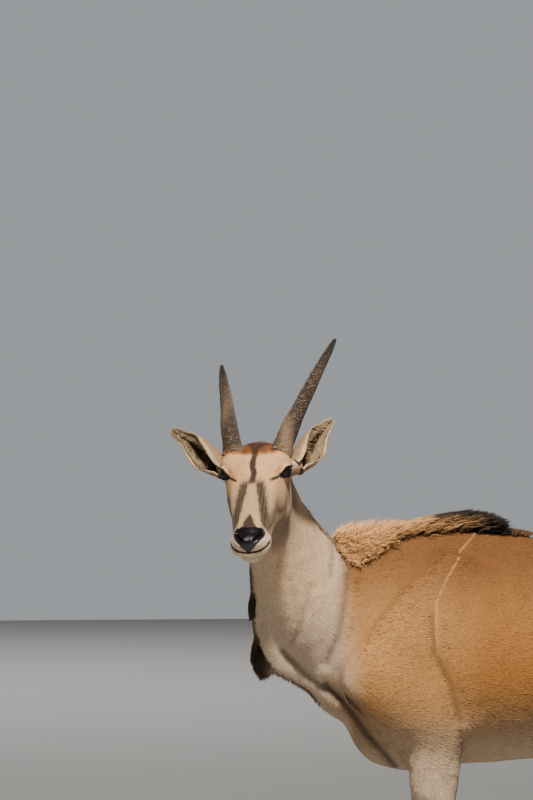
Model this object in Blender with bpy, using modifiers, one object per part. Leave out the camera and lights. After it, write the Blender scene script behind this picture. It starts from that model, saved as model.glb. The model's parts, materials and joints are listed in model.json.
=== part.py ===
"""An eland cow, life size, standing with her head turned to her left.

The animal faces -X, her left side is towards -Y, and +Z is up. Her flesh is one
blend of rounded forms (a signed distance that is negative inside). Each flesh
part is sampled from that blend in its own box, made a closed surface, and
trimmed by thin cuts, so neighbours meet face to face. Horns, ears, eyes, hooves
and every lock of long hair are shapes of their own. All sizes are in metres.
"""

import math
import random

import bmesh
import bpy
import numpy as np
from mathutils import Matrix, Vector
from mathutils.bvhtree import BVHTree

GAP = 0.0003                      # clearance kept between touching parts

# Driving dimensions of the trunk, along X from the shoulder (0) to the rump.
# Columns: x, height of the widest line, reach up, reach down, half width.
TRUNK = np.array([
    (-0.150, 1.020, 0.160, 0.140, 0.095),
    (-0.070, 1.020, 0.220, 0.235, 0.165),
    (0.050, 1.020, 0.270, 0.265, 0.215),
    (0.200, 1.020, 0.285, 0.258, 0.248),
    (0.400, 1.025, 0.285, 0.252, 0.280),
    (0.600, 1.030, 0.278, 0.255, 0.292),
    (0.780, 1.045, 0.270, 0.247, 0.282),
    (0.930, 1.070, 0.255, 0.225, 0.262),
    (1.080, 1.090, 0.240, 0.185, 0.235),
    (1.210, 1.090, 0.190, 0.135, 0.170),
    (1.290, 1.080, 0.110, 0.080, 0.090),
])

# The neck's middle line, the turn of its left side towards the rear, and its
# half height (throat to nape) and half width.
NECK_LINE = np.array([
    (0.060, 0.000, 1.110),
    (-0.090, -0.005, 1.125),
    (-0.195, -0.025, 1.170),
    (-0.282, -0.060, 1.262),
    (-0.342, -0.110, 1.365),
    (-0.388, -0.160, 1.462),
    (-0.410, -0.196, 1.522),
])
NECK_TURN = np.radians([0, 3, 10, 22, 38, 58, 70])
NECK_TALL = np.array([0.215, 0.190, 0.155, 0.126, 0.106, 0.094, 0.078])
NECK_WIDE = np.array([0.150, 0.125, 0.106, 0.091, 0.082, 0.078, 0.072])

# The dewlap's middle line, with its half depth and half thickness.
DEWLAP_LINE = np.array([
    (-0.392, -0.115, 1.290),
    (-0.386, -0.082, 1.215),
    (-0.362, -0.046, 1.120),
    (-0.330, -0.026, 1.052),
    (-0.265, -0.010, 1.010),
    (-0.190, -0.002, 0.962),
    (-0.125, 0.000, 0.900),
])
DEWLAP_DEEP = np.array([0.012, 0.024, 0.038, 0.044, 0.040, 0.032, 0.030])
DEWLAP_THICK = np.array([0.014, 0.016, 0.018, 0.020, 0.024, 0.036, 0.060])

# The head: where the middle between the eyes is, how far the head is turned
# from straight ahead, how far the line of the nose drops, and how far the
# head leans over to its right.
HEAD_POINT = np.array((-0.435, -0.3025, 1.525))
HEAD_TURN = math.radians(72.0)
HEAD_DROP = math.radians(43.0)
HEAD_LEAN = math.radians(2.3)
EYE_RADIUS = 0.0195
EYE_PLACE = (0.004, 0.0705, -0.001)       # forward, sideways, up in the head's frame
EYE_LOOK = (0.56, 0.78, 0.30)
LID_THICK = 0.0035
HORN_LENGTH = {"left": 0.498, "right": 0.401}
HORN_RADIUS = 0.0245
HORN_ROOT = (-0.045, 0.058, 0.012)
HORN_AIM = {"left": (-0.971, 0.218, -0.096), "right": (-0.980, 0.167, -0.105)}
HORN_TURNS = 1.4
EAR_LENGTH = 0.190
EAR_WIDTH = 0.068
EAR_WALL = 0.0045
EAR_ROOT = (-0.060, 0.092, -0.044)
EAR_AIM = {"left": (-0.863, 0.505, -0.010), "right": (-0.605, 0.787, 0.120)}

# Legs: x of the fore and hind feet, half spacing, and the heights of the joints.
SIDES = {"left": -1.0, "right": 1.0}
FORE_X = {"left": 0.052, "right": 0.122}
HIND_X = {"left": 1.215, "right": 1.125}
FORE_Y = 0.132
HIND_Y = 0.128
KNEE_Z = 0.440
KNEE_CUT = 0.490
HOCK_Z = 0.530
HOCK_CUT = 0.610
FETLOCK_Z = 0.160
FETLOCK_CUT = 0.205
HOOF_LENGTH = 0.108
HOOF_WIDTH = 0.043
HOOF_CLEFT = 0.005
CORONET_FRONT = 0.066
CORONET_SLOPE = 0.30                # drop of the coronet from front to back

# The tail, from its root down to the end of its tuft.
TAIL_LINE = np.array([
    (1.295, 0.0, 1.205),
    (1.352, 0.0, 1.185),
    (1.408, 0.0, 1.110),
    (1.428, 0.0, 0.980),
    (1.424, 0.0, 0.840),
    (1.420, 0.0, 0.720),
])
TAIL_RADIUS = np.array([0.038, 0.028, 0.021, 0.016, 0.013, 0.011])

# Long hair. The crest's upper outline over the withers, and the rows of its locks:
# distance from the middle, number of locks, and how far they fall to the side.
CREST_X = (-0.18, -0.13, -0.07, 0.00, 0.05, 0.10, 0.16, 0.21, 0.26, 0.29, 0.35)
CREST_TOP = (1.362, 1.393, 1.398, 1.392, 1.402, 1.414, 1.423, 1.416, 1.398, 1.376, 1.354)
CREST_REACH = (-0.160, 0.325)
CREST_ROWS = ((0.009, 10, 0.05), (0.030, 12, 0.45), (0.054, 7, 0.85))
CREST_LOCK = (0.036, 0.0085)        # width and thickness at the middle
NAPE_LOCKS = 11
NAPE_LOCK = (0.032, 0.024, 0.006)   # length, width and thickness

# The dewlap's tufts: heights of the first and last root, number of locks, and a
# lock's length, width and thickness.
TUFTS = ((1.100, 1.030, 15, (0.062, 0.018, 0.0070)), (1.212, 1.165, 7, (0.042, 0.016, 0.0065)),
         (1.155, 1.115, 4, (0.026, 0.014, 0.0060)))
TAIL_LOCKS = 13
TAIL_LOCK = (0.175, 0.030, 0.011)

COLOURS = {
    "tawny": ((0.42, 0.24, 0.11, 1.0), 0.75),
    "grey fawn": ((0.45, 0.36, 0.28, 1.0), 0.75),
    "pale leg": ((0.50, 0.41, 0.32, 1.0), 0.75),
    "horn brown": ((0.12, 0.09, 0.07, 1.0), 0.50),
    "eye": ((0.01, 0.008, 0.006, 1.0), 0.08),
    "hoof": ((0.05, 0.04, 0.035, 1.0), 0.45),
    "black hair": ((0.03, 0.02, 0.015, 1.0), 0.65),
}


def clear_scene():
    """Removes every object that the file already holds."""
    for thing in list(bpy.data.objects):
        bpy.data.objects.remove(thing, do_unlink=True)


def unit(vector):
    """The vector or rows of vectors, each scaled to length one."""
    vector = np.asarray(vector, float)
    return vector / np.linalg.norm(vector, axis=-1, keepdims=True)


def head_axes():
    """Rows: towards the nose, towards the head's left, up out of the face."""
    ahead = np.array((-math.cos(HEAD_TURN), -math.sin(HEAD_TURN), 0.0))
    level = np.array((0.0, 0.0, 1.0))
    up = math.cos(HEAD_LEAN) * level + math.sin(HEAD_LEAN) * np.cross(ahead, level)
    nose = math.cos(HEAD_DROP) * ahead - math.sin(HEAD_DROP) * up
    crown = math.sin(HEAD_DROP) * ahead + math.cos(HEAD_DROP) * up
    return np.array((nose, np.cross(crown, nose), crown))


HEAD_AXES = head_axes()


def on_head(place):
    """Turns places in the head's frame (forward, left, up) into world places."""
    return HEAD_POINT + np.asarray(place, float) @ HEAD_AXES


def mirrored(place, sign):
    """A place or direction on the head's left for sign 1, on its right for -1."""
    return (place[0], place[1] * sign, place[2])


# Rounded forms and their blend

def smooth_rows(rows, samples):
    """Rows of values carried along a Catmull-Rom curve through all of them."""
    rows = np.asarray(rows, float)
    padded = np.vstack((2 * rows[0] - rows[1], rows, 2 * rows[-1] - rows[-2]))
    place = np.linspace(0, len(rows) - 1 - 1e-9, samples)
    index = place.astype(int)
    t = (place - index)[:, None]
    a, b, c, d = (padded[index + shift] for shift in range(4))
    return 0.5 * (2 * b + (c - a) * t + (2 * a - 5 * b + 4 * c - d) * t ** 2
                  + (3 * b - a - 3 * c + d) * t ** 3)


def ellipsoid(centre, radii, blend, axes=None, carve=False):
    """A rounded form with three radii; its distance is |q/r| (|q/r| - 1) / |q/r^2|."""
    centre = np.asarray(centre, float)
    radii = np.asarray(radii, float)
    axes = np.eye(3) if axes is None else np.asarray(axes, float)
    reach = np.sqrt(((axes * radii[:, None]) ** 2).sum(axis=0))

    def distance(points):
        local = (points - centre) @ axes.T
        near = np.sqrt(((local / radii) ** 2).sum(axis=-1)) + 1e-9
        slope = np.sqrt(((local / radii ** 2) ** 2).sum(axis=-1)) + 1e-9
        return near * (near - 1) / slope

    return centre - reach, centre + reach, blend, distance, carve


def limb(line, side, tall, wide, blend, under=None, samples=18, carve=False):
    """A form swept along a curved line, with an oval section that changes.

    The section's height lies along tangent x side: tall is its half height on
    that side and under on the other; wide is its half width along side.
    """
    line = np.asarray(line, float)
    count = len(line)
    side = np.broadcast_to(np.asarray(side, float), (count, 3))
    under = tall if under is None else under
    columns = np.column_stack((line, side, tall, under, wide))
    rows = smooth_rows(columns, samples)
    path, lateral = rows[:, :3], unit(rows[:, 3:6])
    sizes = np.maximum(rows[:, 6:9], 0.002)
    reach = sizes.max() * 1.02

    def distance(points):
        flat = points.reshape(-1, 3)
        best = np.full(len(flat), 1e9)
        chosen = np.zeros(len(flat))
        for i in range(samples - 1):
            step = path[i + 1] - path[i]
            t = np.clip((flat - path[i]) @ step / (step @ step), 0, 1)
            away = ((flat - path[i] - t[:, None] * step) ** 2).sum(axis=1)
            closer = away < best
            best[closer] = away[closer]
            chosen[closer] = i + t[closer]
        i = np.minimum(chosen.astype(int), samples - 2)
        t = (chosen - i)[:, None]
        centre = path[i] * (1 - t) + path[i + 1] * t
        across = unit(lateral[i] * (1 - t) + lateral[i + 1] * t)
        size = sizes[i] * (1 - t) + sizes[i + 1] * t
        tangent = unit(path[i + 1] - path[i])
        height = unit(np.cross(tangent, across))
        offset = flat - centre
        h = (offset * height).sum(axis=1)
        w = (offset * across).sum(axis=1)
        along = (offset * tangent).sum(axis=1)
        tall_here = np.where(h > 0, size[:, 0], size[:, 1])
        end = np.minimum(tall_here, size[:, 2])
        radii = np.column_stack((tall_here, size[:, 2], end))
        local = np.column_stack((h, w, along))
        near = np.sqrt(((local / radii) ** 2).sum(axis=1)) + 1e-9
        slope = np.sqrt(((local / radii ** 2) ** 2).sum(axis=1)) + 1e-9
        return (near * (near - 1) / slope).reshape(points.shape[:-1])

    return path.min(axis=0) - reach, path.max(axis=0) + reach, blend, distance, carve


def trunk_forms():
    """Barrel, withers, shoulders, brisket, hips and rump."""
    x, middle, up, down, wide = TRUNK.T
    barrel_line = np.column_stack((x, 0 * x, middle))
    forms = [limb(barrel_line, (0, 1, 0), up, wide, 0.05, under=down, samples=30)]
    forms.append(limb([(-0.13, 0, 1.245), (0.0, 0, 1.285), (0.13, 0, 1.300), (0.30, 0, 1.270),
                       (0.46, 0, 1.235)],
                      (0, 1, 0), [0.055, 0.070, 0.074, 0.080, 0.080],
                      [0.045, 0.050, 0.052, 0.065, 0.075], 0.10))
    forms.append(limb([(0.55, 0, 1.225), (0.80, 0, 1.235), (1.02, 0, 1.250), (1.18, 0, 1.215)],
                      (0, 1, 0), [0.075, 0.080, 0.085, 0.070], [0.10, 0.13, 0.15, 0.10], 0.08))
    forms.append(ellipsoid((-0.060, 0, 0.945), (0.085, 0.095, 0.150), 0.05))
    forms.append(ellipsoid((0.025, 0, 0.840), (0.130, 0.095, 0.086), 0.05))
    for sign in SIDES.values():
        forms.append(limb([(0.130, sign * 0.105, 1.260), (0.020, sign * 0.165, 1.120),
                           (-0.105, sign * 0.170, 0.985)],
                          (0, sign, 0), [0.070, 0.105, 0.085], [0.035, 0.050, 0.062], 0.05))
        forms.append(limb([(-0.110, sign * 0.165, 0.990), (-0.020, sign * 0.172, 0.925),
                           (0.090, sign * 0.160, 0.865)],
                          (0, sign, 0), [0.085, 0.090, 0.070], [0.066, 0.062, 0.052], 0.05))
        forms.append(ellipsoid((0.97, sign * 0.165, 1.235), (0.080, 0.055, 0.055), 0.07))
        forms.append(ellipsoid((1.255, sign * 0.105, 1.100), (0.105, 0.085, 0.130), 0.06))
    forms.append(ellipsoid((0.99, 0, 0.875), (0.095, 0.075, 0.062), 0.04))
    return forms


def neck_forms():
    """The muscles of the neck and the thin fold of the dewlap below it."""
    side = np.column_stack((np.sin(NECK_TURN), -np.cos(NECK_TURN), 0 * NECK_TURN))
    forms = [limb(NECK_LINE, side, NECK_TALL, NECK_WIDE, 0.05, samples=24)]
    fold_side = np.tile((0.0, -1.0, 0.0), (len(DEWLAP_LINE), 1))
    fold_side[:3] = side[[4, 3, 2]]
    forms.append(limb(DEWLAP_LINE, fold_side, DEWLAP_DEEP, DEWLAP_THICK, 0.030, samples=20))
    return forms


def head_forms():
    """Skull, brow, nose, muzzle, lips, chin, jaw and the seats of horns and ears."""
    def oval(place, radii, blend, carve=False):
        return ellipsoid(on_head(place), radii, blend, HEAD_AXES, carve)

    def bar(places, tall, wide, blend, side=None):
        side = HEAD_AXES[1] if side is None else side
        return limb(on_head(places), side, tall, wide, blend, samples=12)

    forms = [
        oval((-0.042, 0, -0.022), (0.056, 0.070, 0.046), 0.03),
        oval((-0.006, 0, 0.004), (0.062, 0.070, 0.034), 0.02),
        bar([(0.0, 0, -0.004), (0.090, 0, -0.008), (0.178, 0, -0.011), (0.240, 0, -0.014)],
            [0.040, 0.036, 0.031, 0.026], [0.064, 0.059, 0.045, 0.037], 0.02),
        oval((0.236, 0, -0.022), (0.040, 0.042, 0.033), 0.02),
        oval((0.255, 0, -0.006), (0.021, 0.034, 0.021), 0.010),
        bar([(0.03, 0, -0.055), (0.110, 0, -0.046), (0.192, 0, -0.042)],
            [0.055, 0.045, 0.034], [0.056, 0.054, 0.043], 0.03),
        oval((0.216, 0, -0.063), (0.047, 0.037, 0.023), 0.012),
        oval((-0.055, 0, -0.080), (0.070, 0.060, 0.066), 0.04),
    ]
    for sign, name in ((1, "left"), (-1, "right")):
        aim = np.array(mirrored(HORN_AIM[name], sign))
        forms += [
            oval((-0.008, sign * 0.059, -0.002), (0.037, 0.032, 0.031), 0.014),
            oval((0.050, sign * 0.092, 0.018), (0.026, 0.020, 0.020), 0.012, carve=True),
            oval(mirrored(EYE_PLACE, sign), (EYE_RADIUS + LID_THICK,) * 3, 0.006),
            oval((-0.020, sign * 0.055, 0.004), (0.038, 0.032, 0.027), 0.016),
            oval((0.226, sign * 0.027, -0.034), (0.042, 0.025, 0.021), 0.010),
            oval((0.024, sign * 0.048, -0.038), (0.066, 0.022, 0.032), 0.02),
            oval((0.006, sign * 0.048, -0.082), (0.080, 0.028, 0.062), 0.03),
            bar([(0.197, sign * 0.020, -0.068), (0.095, sign * 0.036, -0.082),
                 (0.005, sign * 0.050, -0.118)],
                [0.015, 0.022, 0.032], [0.012, 0.015, 0.022], 0.025),
            bar([(-0.020, sign * 0.052, 0.004), np.array(mirrored(HORN_ROOT, sign)) - 0.012 * aim,
                 np.array(mirrored(HORN_ROOT, sign))],
                [0.024, 0.022, 0.018], [0.024, 0.024, 0.022], 0.012),
            oval(np.array(mirrored(EAR_ROOT, sign)) + (0.0, -0.012 * sign, 0.0),
                 (0.026, 0.030, 0.026), 0.016),
        ]
    return forms


def foreleg_forms(name):
    """Forearm, knee, cannon, fetlock, pastern and dewclaws of one front leg."""
    sign, x = SIDES[name], FORE_X[name]
    y = sign * FORE_Y
    top_y = sign * (FORE_Y + 0.018)
    line = [(0.045 + (x - 0.052) * 0.5, top_y, 0.890), (x + 0.006, top_y, 0.790),
            (x + 0.004, y + sign * 0.008, 0.680), (x, y, 0.560), (x - 0.004, y, KNEE_Z + 0.02),
            (x, y, KNEE_Z - 0.05), (x + 0.002, y, 0.280), (x, y, FETLOCK_Z + 0.01)]
    front = [0.085, 0.074, 0.058, 0.044, 0.042, 0.032, 0.025, 0.029]
    back = [0.080, 0.070, 0.058, 0.044, 0.040, 0.031, 0.027, 0.033]
    wide = [0.058, 0.052, 0.046, 0.038, 0.038, 0.031, 0.025, 0.032]
    return [limb(line, (0, -1, 0), front, wide, 0.03, under=back)] + foot_forms(x, y)


def hindleg_forms(name):
    """Thigh, shank, hock, cannon, fetlock, pastern and dewclaws of one hind leg."""
    sign, x = SIDES[name], HIND_X[name]
    y = sign * HIND_Y
    lean = x - 1.17
    thigh = limb([(1.16 + lean * 0.2, sign * 0.140, 1.120), (1.10 + lean * 0.3, sign * 0.165, 0.985),
                  (1.06 + lean * 0.5, sign * 0.165, 0.870)],
                 (0, -1, 0), [0.150, 0.165, 0.120], [0.100, 0.085, 0.062], 0.05,
                 under=[0.180, 0.170, 0.120])
    shank = limb([(1.045 + lean * 0.5, sign * 0.160, 0.850), (1.115 + lean * 0.7, sign * 0.150, 0.735),
                  (1.180 + lean * 0.9, sign * 0.138, 0.630), (1.212 + lean, y, HOCK_Z)],
                 (0, -1, 0), [0.105, 0.072, 0.042, 0.038], [0.060, 0.050, 0.036, 0.034], 0.04,
                 under=[0.110, 0.075, 0.044, 0.040])
    cord = limb([(1.200 + lean * 0.7, sign * 0.140, 0.770), (1.226 + lean * 0.9, y, 0.655),
                 (1.246 + lean, y, 0.565)],
                (0, -1, 0), [0.034, 0.020, 0.020], [0.028, 0.018, 0.020], 0.05)
    cannon = limb([(1.216 + lean, y, 0.545), (x + 0.030, y, 0.440), (x + 0.018, y, 0.300),
                   (x + 0.006, y, FETLOCK_Z + 0.01)],
                  (0, -1, 0), [0.038, 0.031, 0.026, 0.030], [0.036, 0.029, 0.025, 0.032], 0.03,
                  under=[0.044, 0.034, 0.030, 0.034])
    return [thigh, shank, cord, cannon] + foot_forms(x + 0.006, y)


def foot_forms(x, y):
    """Fetlock joint, two digits down to the hooves, and the two dewclaws behind."""
    forms = [ellipsoid((x, y, FETLOCK_Z), (0.035, 0.035, 0.038), 0.02)]
    for sign in (-1, 1):
        forms.append(limb([(x - 0.004, y + sign * 0.014, FETLOCK_Z - 0.010),
                           (x - 0.018, y + sign * 0.020, 0.105),
                           (x - 0.026, y + sign * 0.0232, 0.050)],
                          (0, -1, 0), [0.026, 0.028, 0.034], [0.017, 0.018, 0.0185], 0.012,
                          under=[0.026, 0.030, 0.036]))
        forms.append(ellipsoid((x + 0.034, y + sign * 0.017, FETLOCK_Z - 0.032),
                               (0.012, 0.010, 0.016), 0.008))
    return forms


def body_forms():
    """Every form of flesh, in the order in which they blend."""
    forms = trunk_forms() + neck_forms() + head_forms()
    for name in SIDES:
        forms += foreleg_forms(name) + hindleg_forms(name)
    forms.append(limb(TAIL_LINE[:3], (0, 1, 0), TAIL_RADIUS[:3], TAIL_RADIUS[:3], 0.03))
    return forms


def sample(forms, low, high, cell):
    """The blend's distance on a regular grid over a box, with its edges closed."""
    axes = [np.arange(lo, hi + cell, cell) for lo, hi in zip(low, high)]
    field = np.full([len(a) for a in axes], 0.5)
    for lo, hi, blend, distance, carve in forms:
        span = [slice(max(np.searchsorted(a, l - blend) - 1, 0), np.searchsorted(a, h + blend) + 1)
                for a, l, h in zip(axes, lo, hi)]
        part = field[tuple(span)]
        if part.size == 0:
            continue
        grid = np.stack(np.meshgrid(*[a[s] for a, s in zip(axes, span)], indexing="ij"), axis=-1)
        value = distance(grid)
        if carve:
            part, value = -part, value
        mix = np.clip(blend - np.abs(part - value), 0, None) ** 2 / (4 * blend)
        joined = np.minimum(part, value) - mix
        field[tuple(span)] = -joined if carve else joined
    edge = np.ones_like(field, dtype=bool)
    edge[1:-1, 1:-1, 1:-1] = False
    field[edge] = np.maximum(field[edge], 0.4 * cell)
    return axes, field


def surface(axes, field):
    """Vertices and quads of the field's zero level, one vertex in each crossed cell."""
    inside = field < 0
    corners = [(i, j, k) for i in (0, 1) for j in (0, 1) for k in (0, 1)]
    size = [n - 1 for n in field.shape]

    def corner(array, shift):
        return array[tuple(slice(s, s + n) for s, n in zip(shift, size))]

    count = sum(corner(inside, c).astype(np.int8) for c in corners)
    cells = np.argwhere((count > 0) & (count < 8))
    number = np.full(size, -1)
    number[tuple(cells.T)] = np.arange(len(cells))
    total = np.zeros((len(cells), 3))
    hits = np.zeros(len(cells))
    for first in corners:
        for axis in range(3):
            if first[axis]:
                continue
            second = tuple(1 if n == axis else first[n] for n in range(3))
            a = field[tuple((cells + first).T)]
            b = field[tuple((cells + second).T)]
            cross = (a < 0) != (b < 0)
            t = np.where(cross, a / np.where(cross, a - b, 1), 0)
            place = cells + np.array(first, float)
            place[:, axis] += t
            total += place * cross[:, None]
            hits += cross
    spot = total / hits[:, None]
    points = np.column_stack([np.interp(spot[:, n], np.arange(len(axes[n])), axes[n])
                              for n in range(3)])
    quads = []
    for axis in range(3):
        u, v = (axis + 1) % 3, (axis + 2) % 3
        low = [slice(None)] * 3
        high = [slice(None)] * 3
        low[axis], high[axis] = slice(0, -1), slice(1, None)
        start, end = inside[tuple(low)], inside[tuple(high)]
        edges = np.argwhere(start != end)
        keep = (edges[:, u] > 0) & (edges[:, v] > 0)
        keep &= (edges[:, u] < size[u]) & (edges[:, v] < size[v])
        edges = edges[keep]
        ring = []
        for du, dv in ((1, 1), (0, 1), (0, 0), (1, 0)):
            cell = edges.copy()
            cell[:, u] -= du
            cell[:, v] -= dv
            ring.append(number[tuple(cell.T)])
        ring = np.column_stack(ring)
        flip = end[tuple(edges.T)]
        ring[flip] = ring[flip][:, ::-1]
        quads.append(ring)
    return points, np.vstack(quads)


# Objects, cuts and joins

def collection(name):
    """A new collection in the scene."""
    group = bpy.data.collections.new(name)
    bpy.context.scene.collection.children.link(group)
    return group


def material(name):
    """A Principled material in one of the named colours."""
    found = bpy.data.materials.get(name)
    if found:
        return found
    colour, roughness = COLOURS[name]
    found = bpy.data.materials.new(name)
    found.use_nodes = True
    shader = found.node_tree.nodes["Principled BSDF"]
    shader.inputs["Base Color"].default_value = colour
    shader.inputs["Roughness"].default_value = roughness
    shader.inputs["Metallic"].default_value = 0.0
    return found


def new_object(name, points, faces, group):
    """An object from arrays of places and faces."""
    mesh = bpy.data.meshes.new(name)
    mesh.from_pydata(np.asarray(points, float).tolist(), [], [list(map(int, f)) for f in faces])
    thing = bpy.data.objects.new(name, mesh)
    group.objects.link(thing)
    return thing


def finish_mesh(thing):
    """Replaces an object's mesh by what its modifiers give, then drops them."""
    graph = bpy.context.evaluated_depsgraph_get()
    mesh = bpy.data.meshes.new_from_object(thing.evaluated_get(graph))
    thing.modifiers.clear()
    thing.data = mesh


def keep_largest(thing):
    """Keeps only the closed surface with the most faces."""
    mesh = bmesh.new()
    mesh.from_mesh(thing.data)
    left = set(mesh.faces)
    shells = []
    while left:
        shell = [left.pop()]
        for face in shell:
            for edge in face.edges:
                for other in edge.link_faces:
                    if other in left:
                        left.remove(other)
                        shell.append(other)
        shells.append(shell)
    shells.sort(key=len, reverse=True)
    loose = [face for shell in shells[1:] for face in shell]
    bmesh.ops.delete(mesh, geom=loose, context="FACES")
    mesh.to_mesh(thing.data)
    mesh.free()


def combine(thing, other, operation, solver="EXACT"):
    """Cuts, keeps or joins the thing with another object or a whole collection."""
    change = thing.modifiers.new(operation, "BOOLEAN")
    change.operation = operation
    change.solver = solver
    if isinstance(other, bpy.types.Collection):
        change.operand_type = "COLLECTION"
        change.collection = other
    else:
        change.object = other
    finish_mesh(thing)


def flesh(name, forms, low, high, cell, triangles, group):
    """One closed piece of the blended body inside a box, thinned to a triangle count."""
    points, quads = surface(*sample(forms, low, high, cell))
    thing = new_object(name, points, quads, group)
    thin = thing.modifiers.new("thin", "DECIMATE")
    thin.ratio = min(1.0, triangles / (2 * len(quads)))
    thin.use_collapse_triangulate = True
    finish_mesh(thing)
    keep_largest(thing)
    return thing


def cutter_box(name, centre, axes, half, group):
    """A box cutter: half sizes along three axes about its centre."""
    mesh = bpy.data.meshes.new(name)
    shape = bmesh.new()
    bmesh.ops.create_cube(shape, size=2.0)
    rows = np.asarray(axes, float) * np.asarray(half, float)[:, None]
    turn = Matrix(rows.T.tolist()).to_4x4()
    bmesh.ops.transform(shape, matrix=Matrix.Translation(Vector(centre)) @ turn, verts=shape.verts)
    if turn.determinant() < 0:
        bmesh.ops.reverse_faces(shape, faces=shape.faces)
    shape.to_mesh(mesh)
    shape.free()
    return as_cutter(bpy.data.objects.new(name, mesh), group)


def as_cutter(thing, group):
    """Marks an object as a guide that isn't part of the animal."""
    if thing.name not in group.objects:
        group.objects.link(thing)
    thing.hide_render = True
    thing.display_type = "WIRE"
    return thing


def side_of(name, point, towards, half, grow, group):
    """A box that fills the side of a plane towards which the direction points."""
    towards = unit(towards)
    helper = (0, 0, 1) if abs(towards[2]) < 0.8 else (1, 0, 0)
    first = unit(np.cross(helper, towards))
    second = np.cross(towards, first)
    depth = half[2]
    centre = np.asarray(point, float) + towards * (depth - grow)
    axes = (first, second, towards)
    return cutter_box(name, centre, axes, (half[0] + grow, half[1] + grow, depth), group)


def round_seat(point, towards, radius, depth, group):
    """A round cutter that starts at a plane and runs along the direction."""
    mesh = bpy.data.meshes.new("round_seat")
    shape = bmesh.new()
    bmesh.ops.create_cone(shape, cap_ends=True, segments=14, radius1=radius, radius2=radius, depth=depth)
    turn = Vector(towards).to_track_quat("Z", "Y").to_matrix().to_4x4()
    place = Matrix.Translation(Vector(np.asarray(point) + np.asarray(towards) * depth / 2))
    bmesh.ops.transform(shape, matrix=place @ turn, verts=shape.verts)
    shape.to_mesh(mesh)
    shape.free()
    return as_cutter(bpy.data.objects.new("round_seat", mesh), group)


def leg_block(name, x_range, y_range, top, grow, group):
    """A block below a slanted plane, with upright sides; top gives its height."""
    low_x, high_x = x_range[0] - grow, x_range[1] + grow
    low_y, high_y = y_range[0] - grow, y_range[1] + grow
    thing = cutter_box(name, ((low_x + high_x) / 2, (low_y + high_y) / 2, 0.2), np.eye(3),
                       ((high_x - low_x) / 2, (high_y - low_y) / 2, 0.4), group)
    for vertex in thing.data.vertices:
        if vertex.co.z > 0.2:
            vertex.co.z = top(vertex.co.x, vertex.co.y) + grow * 1.3
    return thing


def fore_top(sign):
    """Height of the cut between the trunk and a front leg."""
    return lambda x, y: 0.738 + 0.52 * (sign * y - 0.02)


def hind_top(sign):
    """Height of the cut between the trunk and a hind leg."""
    return lambda x, y: 0.862 + 0.30 * (x - 1.10) + 0.34 * (sign * y - 0.012)


def block_ranges(name, place):
    """The x and y ranges of a leg's block, on the side that the name gives."""
    sign = SIDES[name]
    if place == "fore":
        xs = (FORE_X[name] - 0.19, FORE_X[name] + 0.135)
        ys = sorted((sign * 0.018, sign * 0.40))
    else:
        xs = (0.845 + (HIND_X[name] - 1.17) * 0.5, 1.50)
        ys = sorted((sign * 0.012, sign * 0.40))
    return xs, ys


NECK_CUT = ((-0.205, 0.0, 1.160), (-0.9955, 0.0, 0.0948))
HEAD_CUT = ((-0.383, -0.148, 1.452), (-0.30, -0.80, 0.52))
TAIL_CUT = ((1.338, 0.0, 1.192), (0.93, 0.0, -0.36))


# Long hair

def lock(name, root, grow, lie, length, width, thick, group, face=None, rings=4, sink=0.014):
    """One flat tapered lock that leaves its root along grow and bends over to lie.

    Its spine is a quadratic curve; its section is a flat diamond whose width swells
    a little past the root and narrows to the tip. Its flat side looks along face, or
    else away from the skin.
    """
    sides = 4
    root, grow, lie = np.asarray(root, float), unit(grow), unit(lie)
    start = root - grow * sink
    knee = root + grow * length * 0.42
    tip = knee + lie * length * 0.62
    t = np.linspace(0, 1, rings + 1)[:, None]
    spine = start * (1 - t) ** 2 + 2 * knee * t * (1 - t) + tip * t ** 2
    tangent = unit(2 * (knee - start) * (1 - t) + 2 * (tip - knee) * t)
    across = np.cross(tangent[rings // 2], grow + 0.35 * lie if face is None else face)
    across = unit(across - tangent * (tangent @ across)[:, None])
    out = np.cross(tangent, across)
    swell = (0.75 + 0.9 * t) * (1 - t ** 1.6) + 0.04
    turn = np.linspace(0, 2 * math.pi, sides, endpoint=False)
    ring = (np.cos(turn)[None, :, None] * across[:, None, :] * width / 2
            + np.sin(turn)[None, :, None] * out[:, None, :] * thick / 2)
    points = (spine[:, None, :] + ring * swell[:, None, :])[:rings].reshape(-1, 3)
    points = np.vstack((points, tip))
    faces = [[r * sides + s, r * sides + (s + 1) % sides, (r + 1) * sides + (s + 1) % sides,
              (r + 1) * sides + s] for r in range(rings - 1) for s in range(sides)]
    end = rings * sides
    faces += [[end - sides + s, end - sides + (s + 1) % sides, end] for s in range(sides)]
    faces.append(list(range(sides))[::-1])
    thing = new_object(name, points, faces, group)
    mesh = bmesh.new()
    mesh.from_mesh(thing.data)
    bmesh.ops.recalc_face_normals(mesh, faces=mesh.faces)
    bmesh.ops.triangulate(mesh, faces=mesh.faces)
    mesh.to_mesh(thing.data)
    mesh.free()
    return thing


def skin_of(thing):
    """A search tree of an object's faces."""
    return BVHTree.FromPolygons([v.co for v in thing.data.vertices],
                                [p.vertices for p in thing.data.polygons])


def meet(skin, start, towards):
    """Where a line from start first meets the skin."""
    place = skin.ray_cast(Vector(start), Vector(unit(towards)))[0]
    return None if place is None else np.array(place)


def join_locks(thing, group):
    """Fuses a collection of locks with the part that they grow from."""
    combine(thing, group, "UNION")
    for lock_object in list(group.objects):
        bpy.data.objects.remove(lock_object, do_unlink=True)
    keep_largest(thing)


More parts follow.
